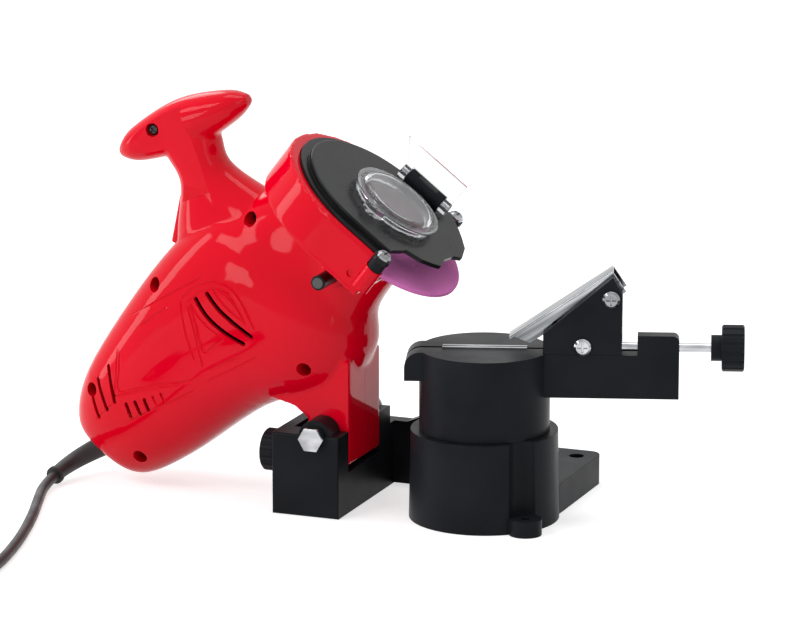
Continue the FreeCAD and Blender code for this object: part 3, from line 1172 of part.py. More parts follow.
def armature_core():
    back = STATOR_BACK + (STATOR_LENGTH - CORE_LENGTH) / 2
    return slotted(CORE_R, ROTOR_R, back, back + CORE_LENGTH, 12, 6, 2.4)


def armature_windings():
    """The wire heads at both ends of the armature's core."""
    back = STATOR_BACK + (STATOR_LENGTH - CORE_LENGTH) / 2
    heads = []
    for start, end in ((back - COIL_LENGTH, back), (back + CORE_LENGTH, back + CORE_LENGTH + COIL_LENGTH)):
        head = ring(CORE_R - 1.5, ROTOR_R, start, end, MOTOR_V)
        rims = [e for e in head.Edges if e.Curve.TypeId == "Part::GeomCircle" and e.Curve.Radius > ROTOR_R + 1]
        heads.append(on_head(in_motor(head.makeFillet(2.0, rims))))
    return heads


def commutator():
    return slotted(COMMUTATOR_R, ROTOR_R, COMMUTATOR_BACK, COMMUTATOR_BACK + COMMUTATOR_LENGTH, 16, 2, 0.8)


def fan():
    """A back plate with straight radial blades and a hub on the armature shaft."""
    plate = ring(FAN_R, ROTOR_R, FAN_BACK, FAN_BACK + 1.5, MOTOR_V)
    hub = ring(ROTOR_R + 4, ROTOR_R, FAN_BACK, FAN_BACK + FAN_LENGTH, MOTOR_V)
    blades = []
    for i in range(FAN_BLADES):
        blade = box(FAN_BACK, FAN_BACK + FAN_LENGTH, -0.8, 0.8, ROTOR_R + 3, FAN_R - 1)
        blade.rotate(Vector(0, 0, 0), X, 360 * i / FAN_BLADES)
        blade.translate(Vector(0, 0, MOTOR_V))
        blades.append(blade)
    return on_head(in_motor(plate.fuse([hub] + blades)))


def brush(side, inner, outer, width, thick):
    y0, y1 = sorted((side * inner, side * outer))
    return box(BRUSH_U - width / 2, BRUSH_U + width / 2, y0, y1, MOTOR_V - thick / 2, MOTOR_V + thick / 2)


def brush_holder(side):
    """A brass tube that guides one carbon brush to the commutator."""
    tube = brush(side, HOLDER_START, HOLDER_END, BRUSH_WIDE + 2 * HOLDER_WALL, BRUSH_THICK + 2 * HOLDER_WALL)
    return on_head(in_motor(tube.cut(brush(side, HOLDER_START - 1, HOLDER_END - HOLDER_WALL,
                                           BRUSH_WIDE + 2 * FIT, BRUSH_THICK + 2 * FIT))))


def carbon_brush(side):
    return on_head(in_motor(brush(side, COMMUTATOR_R + FIT, BRUSH_END, BRUSH_WIDE, BRUSH_THICK)))


# ------------------------------------------------------------------ cord
def strain_relief():
    """The rubber sleeve that bends the cord out of the casing's end, with a ring at its tip."""
    tip, heading = relief_curve(1)
    collar = cylinder(RELIEF_RING_R, RELIEF_RING, tip - heading * RELIEF_RING, heading)
    return relief_sleeve(0, 1, 5).fuse([collar, relief_socket(0)])


def rounded_path(points, radii):
    """Straight runs joined by tangent arcs, one radius at each inner point."""
    edges = []
    start = points[0]
    for before, corner, after, radius in zip(points, points[1:], points[2:], radii):
        a, b = (before - corner).normalize(), (after - corner).normalize()
        half_turn = (math.pi - a.getAngle(b)) / 2
        reach = radius * math.tan(half_turn)
        enter, leave = corner + a * reach, corner + b * reach
        centre = corner + (a + b).normalize() * (radius / math.cos(half_turn))
        middle = centre + (corner - centre).normalize() * radius
        edges.append(Part.LineSegment(start, enter).toShape())
        edges.append(Part.Arc(enter, middle, leave).toShape())
        start = leave
    edges.append(Part.LineSegment(start, points[-1]).toShape())
    return Part.Wire(edges)


def cord_radii(points):
    """At each inner point the largest arc that leaves a tenth of its shorter run straight."""
    radii = []
    for before, corner, after in zip(points, points[1:], points[2:]):
        a, b = before - corner, after - corner
        half_turn = (math.pi - a.getAngle(b)) / 2
        radii.append(0.45 * min(a.Length, b.Length) / math.tan(half_turn))
    return radii


def cord_tube(name, points):
    radii = cord_radii(points)
    path = rounded_path(points, radii)
    profile = Part.Wire(Part.makeCircle(CORD_R, points[0], points[1] - points[0]))
    tube = path.makePipeShell([profile], True, False)
    expected = math.pi * CORD_R ** 2 * path.Length
    print(name, "radii", [round(r, 1) for r in radii], "length", round(path.Length, 1),
          "volume ratio", round(tube.Volume / expected, 4))
    return tube


def cord_coil():
    """The outer shape of the coiled length, flat where the two leads enter it."""
    body = cylinder(COIL_R + COIL_WIDE / 2, COIL_HIGH, COIL, Z)
    body = body.cut(cylinder(COIL_R - COIL_WIDE / 2, COIL_HIGH + 2, COIL - Z, Z))
    body = body.makeFillet(COIL_ROUND, body.Edges)
    entry, leave = CORD_POINTS[-1], TAIL_POINTS[0]
    flat = 2 * CORD_R
    cuts = [box(entry.x - flat, entry.x + 3 * flat, entry.y, entry.y + 9 * flat, -1, 4 * flat),
            box(leave.x - 3 * flat, leave.x + flat, leave.y - 0, leave.y + 9 * flat, -1, 4 * flat)]
    return body.cut(cuts)


def plug():
    """A plain moulded two-pin plug, lying on its side at the cord's end."""
    end, before = TAIL_POINTS[-1], TAIL_POINTS[-2]
    heading = (end - before).normalize()
    neck = Part.makeCone(CORD_R + 1.2, PLUG_NECK_R, PLUG_NECK, end, heading)
    face = end + heading * (PLUG_NECK + PLUG_LONG)
    body = box(-PLUG_LONG, 0, -PLUG_WIDE / 2, PLUG_WIDE / 2, -PLUG_HIGH / 2, PLUG_HIGH / 2)
    body = body.makeFillet(3.0, [e for e in body.Edges if abs(e.Length - PLUG_LONG) < 0.1])
    body.Placement = Placement(face, Rotation(X, heading))
    return neck.fuse(body)


def plug_pins():
    end, before = TAIL_POINTS[-1], TAIL_POINTS[-2]
    heading = (end - before).normalize()
    face = end + heading * (PLUG_NECK + PLUG_LONG)
    pins = []
    for side in (-1, 1):
        pin = box(-PIN_DEEP, PIN_LONG, side * PIN_SPACING / 2 - PIN_THICK / 2,
                  side * PIN_SPACING / 2 + PIN_THICK / 2, -PIN_HIGH / 2, PIN_HIGH / 2)
        pin.Placement = Placement(face, Rotation(X, heading))
        pins.append(pin)
    return pins


# ------------------------------------------------------------------ nodes
def build():
    save("base", base())
    save("vise_foot", vise_foot())
    save("pivot_bolt", pivot_bolt())
    save("pivot_nut", pivot_nut())
    save("depth_screw", depth_screw())
    save("depth_knob", depth_knob())
    save("depth_nut", depth_nut())
    save("angle_lock_bolt", angle_lock_bolt())
    save("angle_lock_knob", angle_lock_knob())
    save("turret_rail", on_rail(turret_rail()))
    save("fixed_jaw", on_rail(jaw(-1)))
    save("moving_jaw", on_rail(jaw(1)))
    save("clamp_screw", on_rail(clamp_screw()))
    save("clamp_knob", on_rail(clamp_knob()))
    save("pawl_carrier", on_rail(pawl_carrier()))
    save("pawl_pin_screw", on_rail(cheek_screw(PAWL_PIN_X, PAWL_PIN_Z, 2 * RAIL_HALF + PIN_NUT_H + 0.5)))
    save("pawl_pin_nut", on_rail(pawl_pin_nut()))
    save("carrier_screw", on_rail(cheek_screw(CARRIER_SCREW_X, CARRIER_SCREW_Z, RAIL_HALF - CHEEK_FOOT_INNER - GAP)))
    save("chain_pawl", on_rail(chain_pawl()))
    save("advance_screw", on_rail(advance_screw()))
    save("advance_knob", on_rail(advance_knob()))
    red = housing()
    save("housing_front", housing_shell(red, -1))
    save("housing_rear", housing_shell(red, 1))
    save("housing_screws", *[house_screw(u, v) for u, v in BOSSES])
    save("spindle", spindle())
    save("spindle_gear", gear(GEAR_TEETH, SPINDLE_GEAR_R, GEAR_BACK, GEAR_BACK + GEAR_FACE, SPINDLE_V, 0.5))
    save("inner_flange", inner_flange())
    save("grinding_wheel", grinding_wheel())
    save("outer_flange", outer_flange())
    save("spindle_nut", spindle_nut())
    save("spindle_bearings",
         on_head(in_motor(ring(BEARING_R, SPINDLE_R + FIT, BEARING_BACK, BEARING_BACK + BEARING_THICK))),
         on_head(in_motor(ring(FRONT_BEARING_R, SPINDLE_GEAR_R + FIT, FRONT_BEARING_BACK,
                               FRONT_BEARING_BACK + FRONT_BEARING_THICK))))
    save("wheel_cover", wheel_cover())
    save("cover_spacers", cover_spacer(-1), cover_spacer(1))
    save("cover_screws", cover_screw(-1), cover_screw(1))
    save("hub_cap", hub_cap())
    save("shield_clamp", shield_clamp())
    save("shield_pin", shield_pin())
    save("eye_shield", eye_shield())
    save("lock_button", lock_button())
    save("lock_pin", lock_pin())
    save("switch_paddle", switch_paddle())
    save("switch_body", switch_body())
    save("stator", stator())
    save("field_coils", *field_coils())
    save("armature_shaft", armature_shaft())
    save("armature_core", armature_core())
    save("armature_windings", *armature_windings())
    save("commutator", commutator())
    save("fan", fan())
    save("pinion", gear(PINION_TEETH, ROTOR_R, GEAR_BACK, GEAR_BACK + GEAR_FACE + 1, MOTOR_V, 0))
    save("motor_bearings",
         on_head(in_motor(ring(BEARING_R, ROTOR_R + FIT, BEARING_BACK, BEARING_BACK + BEARING_THICK, MOTOR_V))),
         on_head(in_motor(ring(REAR_BEARING_R, ROTOR_STUB_R + FIT, REAR_BEARING_BACK,
                               REAR_BEARING_BACK + REAR_BEARING_THICK, MOTOR_V))))
    save("brush_holders", brush_holder(-1), brush_holder(1))
    save("carbon_brushes", carbon_brush(-1), carbon_brush(1))
    save("strain_relief", strain_relief())
    save("cord", cord_tube("cord", CORD_POINTS))
    save("cord_coil", cord_coil())
    save("cord_tail", cord_tube("cord_tail", TAIL_POINTS))
    save("plug", plug())
    save("plug_pins", *plug_pins())


build()
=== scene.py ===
"""Electric chainsaw sharpener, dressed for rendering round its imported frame."""
import json
import math

import bmesh
import bpy
from mathutils import Matrix, Vector
from mathutils.bvhtree import BVHTree


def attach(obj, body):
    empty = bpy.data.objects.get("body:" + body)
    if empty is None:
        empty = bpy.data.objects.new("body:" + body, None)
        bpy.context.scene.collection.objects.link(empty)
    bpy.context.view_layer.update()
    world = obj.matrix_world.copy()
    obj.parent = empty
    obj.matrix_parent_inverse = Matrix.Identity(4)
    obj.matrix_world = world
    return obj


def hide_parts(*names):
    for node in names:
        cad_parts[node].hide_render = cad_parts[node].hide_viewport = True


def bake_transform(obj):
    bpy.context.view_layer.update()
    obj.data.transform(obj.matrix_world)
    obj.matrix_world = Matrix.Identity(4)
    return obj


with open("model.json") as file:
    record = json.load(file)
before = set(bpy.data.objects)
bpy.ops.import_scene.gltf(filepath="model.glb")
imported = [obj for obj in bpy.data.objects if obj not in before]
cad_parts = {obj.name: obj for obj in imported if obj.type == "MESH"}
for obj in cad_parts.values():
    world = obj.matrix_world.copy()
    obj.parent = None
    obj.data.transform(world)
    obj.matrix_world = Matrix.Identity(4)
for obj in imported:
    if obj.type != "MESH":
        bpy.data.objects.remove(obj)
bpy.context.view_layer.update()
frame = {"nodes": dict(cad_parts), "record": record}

MM = 0.001

# ------------------------------------------------------------------ places, millimetres and degrees
SWIVEL = Vector((37.5, -80.6, 0.0))      # the foot of the vise's swivel axis, in the frame
PIVOT = Vector((-88.5, 0.0, 46.7))       # the head's pivot, from the swivel axis
MOTOR_TILT = 52.3
SPINDLE_V = 50.5                         # the spindle's height over the pivot, square to the motor's axis
VISE_SWIVEL = 18.0

TO_ROW = Matrix.Translation(SWIVEL * MM) @ Matrix.Scale(MM, 4)
HEAD = TO_ROW @ Matrix.Translation(PIVOT) @ Matrix.Rotation(math.radians(-MOTOR_TILT), 4, "Y")

# ------------------------------------------------------------------ camera
AZIMUTH = math.radians(21.5)
ELEVATION = math.radians(13.4)
PIXELS_PER_MM = 1.75
SWIVEL_PIXEL = (484.0, 515.0)            # where the photograph shows the foot of the swivel axis
FRAME_SIZE = (800, 640)
DISTANCE = 2.6
SENSOR = 36.0


def new_object(name, data):
    """An object round some data, linked to the scene."""
    made_object = bpy.data.objects.new(name, data)
    bpy.context.scene.collection.objects.link(made_object)
    return made_object


def add_camera():
    """The photograph's view: the swivel axis's foot falls on its pixel at the photograph's scale."""
    right = Vector((math.cos(AZIMUTH), math.sin(AZIMUTH), 0))
    towards = Vector((math.sin(AZIMUTH) * math.cos(ELEVATION), -math.cos(AZIMUTH) * math.cos(ELEVATION),
                      math.sin(ELEVATION)))
    up = towards.cross(right)
    across = (FRAME_SIZE[0] / 2 - SWIVEL_PIXEL[0]) / PIXELS_PER_MM
    above = (SWIVEL_PIXEL[1] - FRAME_SIZE[1] / 2) / PIXELS_PER_MM
    target = (SWIVEL + right * across + up * above) * MM
    data = bpy.data.cameras.new("camera")
    data.sensor_width = SENSOR
    data.lens = SENSOR * DISTANCE / (FRAME_SIZE[0] / PIXELS_PER_MM * MM)
    data.clip_end = 50
    camera = new_object("camera", data)
    rotation = Matrix((right, up, towards)).transposed().to_4x4()
    camera.matrix_world = Matrix.Translation(target + towards * DISTANCE) @ rotation
    bpy.context.scene.camera = camera


# ------------------------------------------------------------------ shader helpers
NOISE = "ShaderNodeTexNoise"
NOISE_LOW = 0.3                          # between these a noise has most of its values
NOISE_HIGH = 0.7


def shader_of(material):
    return material.node_tree.nodes["Principled BSDF"]


def new_material(name, colour, roughness, metallic=0.0, **sockets):
    """A Principled material with its uniform values on the shader's own sockets."""
    material = bpy.data.materials.new(name)
    material.use_nodes = True
    shader = shader_of(material)
    shader.inputs["Base Color"].default_value = (*colour, 1)
    shader.inputs["Roughness"].default_value = roughness
    shader.inputs["Metallic"].default_value = metallic
    for socket, value in sockets.items():
        shader.inputs[socket.replace("_", " ")].default_value = value
    return material


def add_node(material, kind, inputs=None, **settings):
    """A node of a kind, with values on its sockets and its own settings."""
    node = material.node_tree.nodes.new(kind)
    for key, value in settings.items():
        setattr(node, key, value)
    for key, value in (inputs or {}).items():
        node.inputs[key].default_value = value
    return node


def link(material, source, target):
    material.node_tree.links.new(source, target)


def texture(material, kind, scale, stretch=(1, 1, 1), turn=None, **inputs):
    """A procedural texture in the object's own metres; stretch scales its axes.

    With a turn, in degrees, the texture lies in the turned axes and stretch draws it out along them.
    """
    place = add_node(material, "ShaderNodeTexCoord")
    mapping = add_node(material, "ShaderNodeMapping")
    mapping.inputs["Scale"].default_value = stretch
    if turn:
        mapping.vector_type = "TEXTURE"
        mapping.inputs["Rotation"].default_value = [math.radians(angle) for angle in turn]
    link(material, place.outputs["Object"], mapping.inputs["Vector"])
    node = add_node(material, kind, {"Scale": scale, **inputs})
    link(material, mapping.outputs["Vector"], node.inputs["Vector"])
    return node


def vary(material, source, socket, low, high):
    """Let a texture drive a number on the shader between low and high."""
    ramp = add_node(material, "ShaderNodeMapRange",
                    {"From Min": NOISE_LOW, "From Max": NOISE_HIGH, "To Min": low, "To Max": high})
    link(material, source, ramp.inputs["Value"])
    link(material, ramp.outputs["Result"], shader_of(material).inputs[socket])


def tint(material, source, colours):
    """Let a texture drive the base colour along (position, colour) stops."""
    ramp = add_node(material, "ShaderNodeValToRGB")
    stops = ramp.color_ramp.elements
    while len(stops) < len(colours):
        stops.new(0.5)
    for stop, (position, colour) in zip(stops, colours):
        stop.position = position
        stop.color = (*colour, 1)
    link(material, source, ramp.inputs["Fac"])
    link(material, ramp.outputs["Color"], shader_of(material).inputs["Base Color"])


def bump(material, sources, distance, edge=0.0):
    """Chain bump nodes, one for each texture output and its share, over edges rounded by edge metres."""
    normal = None
    if edge:
        normal = add_node(material, "ShaderNodeBevel", {"Radius": edge}, samples=6).outputs["Normal"]
    for source, share in sources:
        node = add_node(material, "ShaderNodeBump", {"Strength": 1.0, "Distance": distance * share})
        link(material, source, node.inputs["Height"])
        if normal:
            link(material, normal, node.inputs["Normal"])
        normal = node.outputs["Normal"]
    link(material, normal, shader_of(material).inputs["Normal"])


# ------------------------------------------------------------------ materials
PAWL_TURN = (0.0, -34.2, VISE_SWIVEL)    # the pawl's own axes, degrees about X, Y and Z


def red_abs():
    """Glossy moulded ABS: a faint orange peel, cloudy gloss and slightly uneven pigment."""
    m = new_material("red_abs", (0.8, 0.0, 0.016), 0.06, Specular_IOR_Level=0.13)
    peel = texture(m, NOISE, scale=260, Detail=1.0)
    cloud = texture(m, NOISE, scale=18, Detail=3.0)
    tint(m, cloud.outputs["Fac"], [(0.25, (0.72, 0.0, 0.012)), (0.75, (0.8, 0.0, 0.018))])
    vary(m, cloud.outputs["Fac"], "Roughness", low=0.04, high=0.07)
    bump(m, [(peel.outputs["Fac"], 1.0)], distance=0.000006)
    return m


def black_nylon():
    """Glass-filled nylon with a fine spark-eroded grain, uneven in colour and gloss."""
    m = new_material("black_nylon", (0.0115, 0.0128, 0.0155), 0.42, Specular_IOR_Level=0.06)
    grain = texture(m, NOISE, scale=2600, Detail=3.0)
    cloud = texture(m, NOISE, scale=30, Detail=4.0)
    tint(m, cloud.outputs["Fac"], [(0.3, (0.0092, 0.0102, 0.0123)), (0.75, (0.0152, 0.0168, 0.0202))])
    vary(m, cloud.outputs["Fac"], "Roughness", low=0.28, high=0.42)
    bump(m, [(grain.outputs["Fac"], 1.0)], distance=0.00005, edge=0.0006)
    return m


def black_cover():
    """The smoother black of the wheel's cover and the lock's button."""
    m = new_material("black_cover", (0.0072, 0.0076, 0.0082), 0.27, Specular_IOR_Level=0.14)
    grain = texture(m, NOISE, scale=1500, Detail=2.0)
    cloud = texture(m, NOISE, scale=40, Detail=3.0)
    vary(m, cloud.outputs["Fac"], "Roughness", low=0.2, high=0.32)
    bump(m, [(grain.outputs["Fac"], 1.0)], distance=0.00003, edge=0.0005)
    return m


def chrome():
    """Bright plate, a little scratched, with cloudy streaks of painted reflection from dark to bright in its
    colour.
    """
    m = new_material("chrome", (0.55, 0.56, 0.58), 0.12, 1.0)
    scratch = texture(m, NOISE, scale=400, stretch=(1, 1, 12), Detail=2.0)
    cloud = texture(m, NOISE, scale=45, stretch=(1, 1, 2), Detail=2.0, Distortion=0.3)
    # painted reflection: the stretched cloud darkens and brightens the plate's colour in streaks, as
    # mirrored surroundings would
    tint(m, cloud.outputs["Fac"], [(0.35, (0.24, 0.245, 0.255)), (0.5, (0.38, 0.39, 0.405)),
                                   (0.66, (0.54, 0.55, 0.57))])
    vary(m, scratch.outputs["Fac"], "Roughness", low=0.1, high=0.2)
    bump(m, [(scratch.outputs["Fac"], 1.0)], distance=0.000008, edge=0.0003)
    return m


def sheet_with_painted_reflection():
    """The pawl's drawn and plated sheet, with long streaks that vary its gloss and bump, and that paint dark
    to bright reflections into its colour.
    """
    m = new_material("sheet_with_painted_reflection", (0.26, 0.265, 0.275), 0.16, 1.0)
    streaks_and_painted_reflection = texture(m, NOISE, scale=260, stretch=(14, 1, 1), turn=PAWL_TURN, Detail=2.0)
    # painted reflection: the dark streaks stand for the black nylon mirrored in the sheet, the bright ones
    # for light
    tint(m, streaks_and_painted_reflection.outputs["Fac"], [(0.34, (0.06, 0.066, 0.068)), (0.5, (0.24, 0.25, 0.26)),
                                    (0.66, (0.46, 0.47, 0.49))])
    vary(m, streaks_and_painted_reflection.outputs["Fac"], "Roughness", low=0.22, high=0.1)
    bump(m, [(streaks_and_painted_reflection.outputs["Fac"], 1.0)], distance=0.00001, edge=0.0003)
    return m


def steel():
    """Plain steel, scratched one way."""
    m = new_material("steel", (0.3, 0.31, 0.32), 0.32, 1.0)
    scratch = texture(m, NOISE, scale=600, stretch=(8, 1, 1), Detail=2.0)
    vary(m, scratch.outputs["Fac"], "Roughness", low=0.24, high=0.42)
    bump(m, [(scratch.outputs["Fac"], 1.0)], distance=0.00002)
    return m


def painted_shade_steel():
    """Steel darkened as painted shade, for the screws at the bottom of their pockets."""
    m = new_material("painted_shade_steel", (0.05, 0.051, 0.054), 0.4, 1.0)
    scratch = texture(m, NOISE, scale=900, Detail=2.0)
    vary(m, scratch.outputs["Fac"], "Roughness", low=0.34, high=0.5)
    return m


def copper():
    """The varnished copper of windings and commutator, ribbed like laid wire."""
    m = new_material("copper", (0.6, 0.24, 0.1), 0.3, 1.0, Coat_Weight=0.5)
    wire = texture(m, "ShaderNodeTexWave", scale=500, Distortion=2.0)
    bump(m, [(wire.outputs["Fac"], 1.0)], distance=0.0002)
    return m


def brass():
    """Scratched brass."""
    m = new_material("brass", (0.68, 0.5, 0.2), 0.24, 1.0)
    scratch = texture(m, NOISE, scale=700, stretch=(1, 8, 1), Detail=2.0)
    vary(m, scratch.outputs["Fac"], "Roughness", low=0.18, high=0.34)
    return m


def carbon():
    """The brushes' grainy carbon."""
    m = new_material("carbon", (0.03, 0.03, 0.032), 0.6)
    grain = texture(m, NOISE, scale=1800, Detail=3.0)
    bump(m, [(grain.outputs["Fac"], 1.0)], distance=0.00008)
    return m


def abrasive():
    """Bonded grit in three tints, with a pitted surface."""
    m = new_material("abrasive", (0.8, 0.2, 0.58), 0.85, Specular_IOR_Level=0.3)
    grit = texture(m, "ShaderNodeTexVoronoi", scale=1500)
    fine = texture(m, NOISE, scale=3500, Detail=4.0)
    tint(m, fine.outputs["Fac"], [(0.3, (0.68, 0.14, 0.47)), (0.5, (0.8, 0.2, 0.58)),
                                  (0.72, (0.9, 0.34, 0.7))])
    bump(m, [(grit.outputs["Distance"], 1.0), (fine.outputs["Fac"], 0.6)], distance=0.00025)
    return m


def clear():
    """Clear polycarbonate, faintly smoky, with hairline scratches."""
    m = new_material("clear", (0.8, 0.81, 0.82), 0.05, Transmission_Weight=0.95, IOR=1.45)
    scratch = texture(m, NOISE, scale=300, stretch=(1, 10, 1), Detail=2.0)
    vary(m, scratch.outputs["Fac"], "Roughness", low=0.02, high=0.12)
    return m


def rubber():
    """The dull, grainy rubber of lead, strain relief and plug."""
    m = new_material("rubber", (0.014, 0.014, 0.015), 0.5)
    grain = texture(m, NOISE, scale=1400, Detail=3.0)
    cloud = texture(m, NOISE, scale=60, Detail=2.0)
    vary(m, cloud.outputs["Fac"], "Roughness", low=0.4, high=0.58)
    bump(m, [(grain.outputs["Fac"], 1.0)], distance=0.00005)
    return m


def grey_cap():
    """The grey of the disc in the lock's button."""
    m = new_material("grey_cap", (0.06, 0.062, 0.065), 0.4)
    grain = texture(m, NOISE, scale=2000, Detail=2.0)
    bump(m, [(grain.outputs["Fac"], 1.0)], distance=0.00005)
    return m


MATERIALS = (red_abs, black_nylon, black_cover, chrome, steel, painted_shade_steel, sheet_with_painted_reflection, copper, brass,
             carbon, abrasive, clear, rubber, grey_cap)
# nodes whose finish isn't that of their material slot in the record; the housing's screws take steel
# darkened as painted shade in their pockets
# the pawl's sheet carries painted reflection in its colour
OWN_FINISH = {"housing_screws": "painted_shade_steel", "lock_button": "black_cover", "chain_pawl": "sheet_with_painted_reflection"}

# ------------------------------------------------------------------ mesh helpers
SHARP_ANGLE = 35


def object_from(name, bm, matrix, material=None, body=None):
    """Link a bmesh drawn in millimetres as a piece, which rides on a body if one is named."""
    bm.transform(matrix)
    bmesh.ops.recalc_face_normals(bm, faces=bm.faces)
    mesh = bpy.data.meshes.new(name)
    bm.to_mesh(mesh)
    bm.free()
    piece = new_object(name, mesh)
    if material:
        mesh.materials.append(material)
    if body:
        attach(piece, body)
    return piece


def mesh_of(piece):
    """A piece's final mesh, with its modifiers or bevel."""
    bpy.context.view_layer.update()
    graph = bpy.context.evaluated_depsgraph_get()
    return bpy.data.meshes.new_from_object(piece.evaluated_get(graph))


def modify(piece, kind, **settings):
    """Add a modifier with its settings."""
    modifier = piece.modifiers.new(kind.lower(), kind)
    for key, value in settings.items():
        setattr(modifier, key, value)


def apply_modifiers(piece):
    """Bake a piece's modifiers into its mesh."""
    mesh = mesh_of(piece)
    piece.modifiers.clear()
    old = piece.data
    piece.data = mesh
    bpy.data.meshes.remove(old)


def boolean(piece, other, operation="DIFFERENCE"):
    """Cut another object out of a piece, or join it on, and delete that object."""
    modify(piece, "BOOLEAN", operation=operation, object=other, solver="MANIFOLD")
    apply_modifiers(piece)
    bpy.data.objects.remove(other)


def carve(piece, matrix, *makers, operation="DIFFERENCE"):
    """Cut each maker's closed form out of a piece, or join it on."""
    for maker in makers:
        bm = bmesh.new()
        maker(bm)
        boolean(piece, object_from("tool", bm, matrix), operation)


def shade_smooth(mesh):
    for polygon in mesh.polygons:
        polygon.use_smooth = True


def shade_with_edges(mesh):
    """Smooth shading that keeps the sharp edges."""
    shade_smooth(mesh)
    mesh.set_sharp_from_angle(angle=math.radians(SHARP_ANGLE))


def ring_points(centre, half_a, half_b, dir_a, dir_b, fullness, count):
    """Points round a superellipse: a fullness of 2 gives an ellipse, and more a squarer form."""
    points = []
    for i in range(count):
        angle = 2 * math.pi * i / count
        c, s = math.cos(angle), math.sin(angle)
        a = math.copysign(abs(c) ** (2 / fullness), c) * half_a
        b = math.copysign(abs(s) ** (2 / fullness), s) * half_b
        points.append(centre + dir_a * a + dir_b * b)
    return points


def eased(rows, steps):
    """Rows of numbers with steps smooth ones for each given one, by Catmull-Rom."""
    result = []
    for i in range(len(rows) - 1):
        before, a, b, after = rows[max(i - 1, 0)], rows[i], rows[i + 1], rows[min(i + 2, len(rows) - 1)]
        for j in range(steps):
            t = j / steps
            result.append([0.5 * (2 * q + (r - p) * t + (2 * p - 5 * q + 4 * r - s) * t * t
                                  + (3 * q - p - 3 * r + s) * t ** 3)
                           for p, q, r, s in zip(before, a, b, after)])
    result.append(list(rows[-1]))
    return result


def direction_at(points, i):
    """The direction of a line of points at one of them."""
    return (points[min(i + 1, len(points) - 1)] - points[max(i - 1, 0)]).normalized()


def loft(bm, rings):
    """Skin a list of equal rings and close both ends."""
    loops = [[bm.verts.new(p) for p in ring] for ring in rings]
    for low, high in zip(loops, loops[1:]):
        for i in range(len(low)):
            j = (i + 1) % len(low)
            bm.faces.new((low[i], low[j], high[j], high[i]))
    bm.faces.new(loops[0][::-1])
    bm.faces.new(loops[-1])


def prism(bm, outline, axis, start, end):
    """A closed prism of an outline of two coordinates, along axis 0, 1 or 2."""
    rings = []
    for level in (start, end):
        ring = []
        for a, b in outline:
            point = [a, b]
            point.insert(axis, level)
            ring.append(Vector(point))
        rings.append(ring)
    loft(bm, rings)


def box(bm, low, high):
    """A closed box between two corners."""
    outline = [(low[0], low[2]), (high[0], low[2]), (high[0], high[2]), (low[0], high[2])]
    prism(bm, outline, 1, low[1], high[1])


def cylinder(bm, radius, base, axis, length, count=32):
    """A closed cylinder from its base point along a direction."""
    axis = Vector(axis).normalized()
    side = axis.orthogonal().normalized()
    other = axis.cross(side)
    loft(bm, [ring_points(Vector(base) + axis * level, radius, radius, side, other, 2, count)
              for level in (0, length)])


def box_maker(low, high):
    return lambda bm: box(bm, low, high)


def cylinder_maker(radius, base, axis, length):
    return lambda bm: cylinder(bm, radius, base, axis, length)


# ------------------------------------------------------------------ cord
CORD_R = 3.15
CORD_LIFT = 0.1                          # of the coil's lowest turns over the bench
CORD_ROUTE = [(-256.0, -32.0, 5.8), (-256.0, -47.0, 3.4), (-247.0, -72.0, 3.2), (-232.0, -112.0, 3.3),
              (-217.0, -162.0, 3.2), (-207.0, -212.0, 3.3), (-210.0, -258.0, 3.2), (-217.0, -306.0, 3.3)]
COIL = (-252.0, -334.0)
COIL_R = 35.0
COIL_TURNS = 6.5
COIL_POINTS = 12                         # to a turn
LANE_CHANGE = 0.6                        # the share of a turn after which it starts to move over
TAIL_ROUTE = [(-287.0, -306.0, 3.3), (-291.0, -284.0, 3.4), (-287.0, -262.0, 6.0), (-289.0, -240.0, 9.6)]


def coil_points():
    """The coil's middle line: each turn keeps to its lane, and near its end moves over to the next.

    The last half turn lies in the same place as the first one, since both keep to the same lane.
    """
    pitch = 2 * CORD_R
    low = CORD_R + CORD_LIFT
    high = CORD_R + pitch
    # radius and height of each turn's middle
    lanes = [(COIL_R, low), (COIL_R - pitch, low), (COIL_R - pitch, high), (COIL_R, high),
             (COIL_R + pitch, high), (COIL_R + pitch, low), (COIL_R, low)]
    points = []
    for i in range(int(COIL_TURNS * COIL_POINTS) + 1):
        turn = i / COIL_POINTS
        a, b = lanes[int(turn)], lanes[min(int(turn) + 1, len(lanes) - 1)]
        share = max(0.0, (turn % 1 - LANE_CHANGE) / (1 - LANE_CHANGE))
        radius = a[0] + (b[0] - a[0]) * share
        height = a[1] + (b[1] - a[1]) * share
        angle = -2 * math.pi * turn
        points.append(Vector((COIL[0] + radius * math.cos(angle), COIL[1] + radius * math.sin(angle),
                              height)))
    return points


def add_cord(material):
    """The whole lead as one tube, with its middle line: the free run, the coil and the tail to the plug."""
    points = [Vector(p) for p in CORD_ROUTE[:-1]] + coil_points() + [Vector(p) for p in TAIL_ROUTE[1:]]
    data = bpy.data.curves.new("cord_line", "CURVE")
    data.dimensions = "3D"
    data.bevel_depth = CORD_R * MM
    data.bevel_resolution = 6
    data.resolution_u = 6
    data.use_fill_caps = True
    spline = data.splines.new("NURBS")
    spline.points.add(len(points) - 1)
    for place, point in zip(spline.points, points):
        place.co = (*(TO_ROW @ point), 1)
    spline.order_u = 3
    spline.use_endpoint_u = True
    line = new_object("cord_line", data)
    tube = mesh_of(line)
    data.bevel_depth = 0
    middle = [vertex.co.copy() for vertex in mesh_of(line).vertices]
    bpy.data.objects.remove(line)
    cord = new_object("power_cord", tube)
    tube.materials.clear()
    tube.materials.append(material)
    shade_smooth(tube)
    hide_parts("cord", "cord_coil", "cord_tail")
    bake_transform(cord)
    return cord, middle


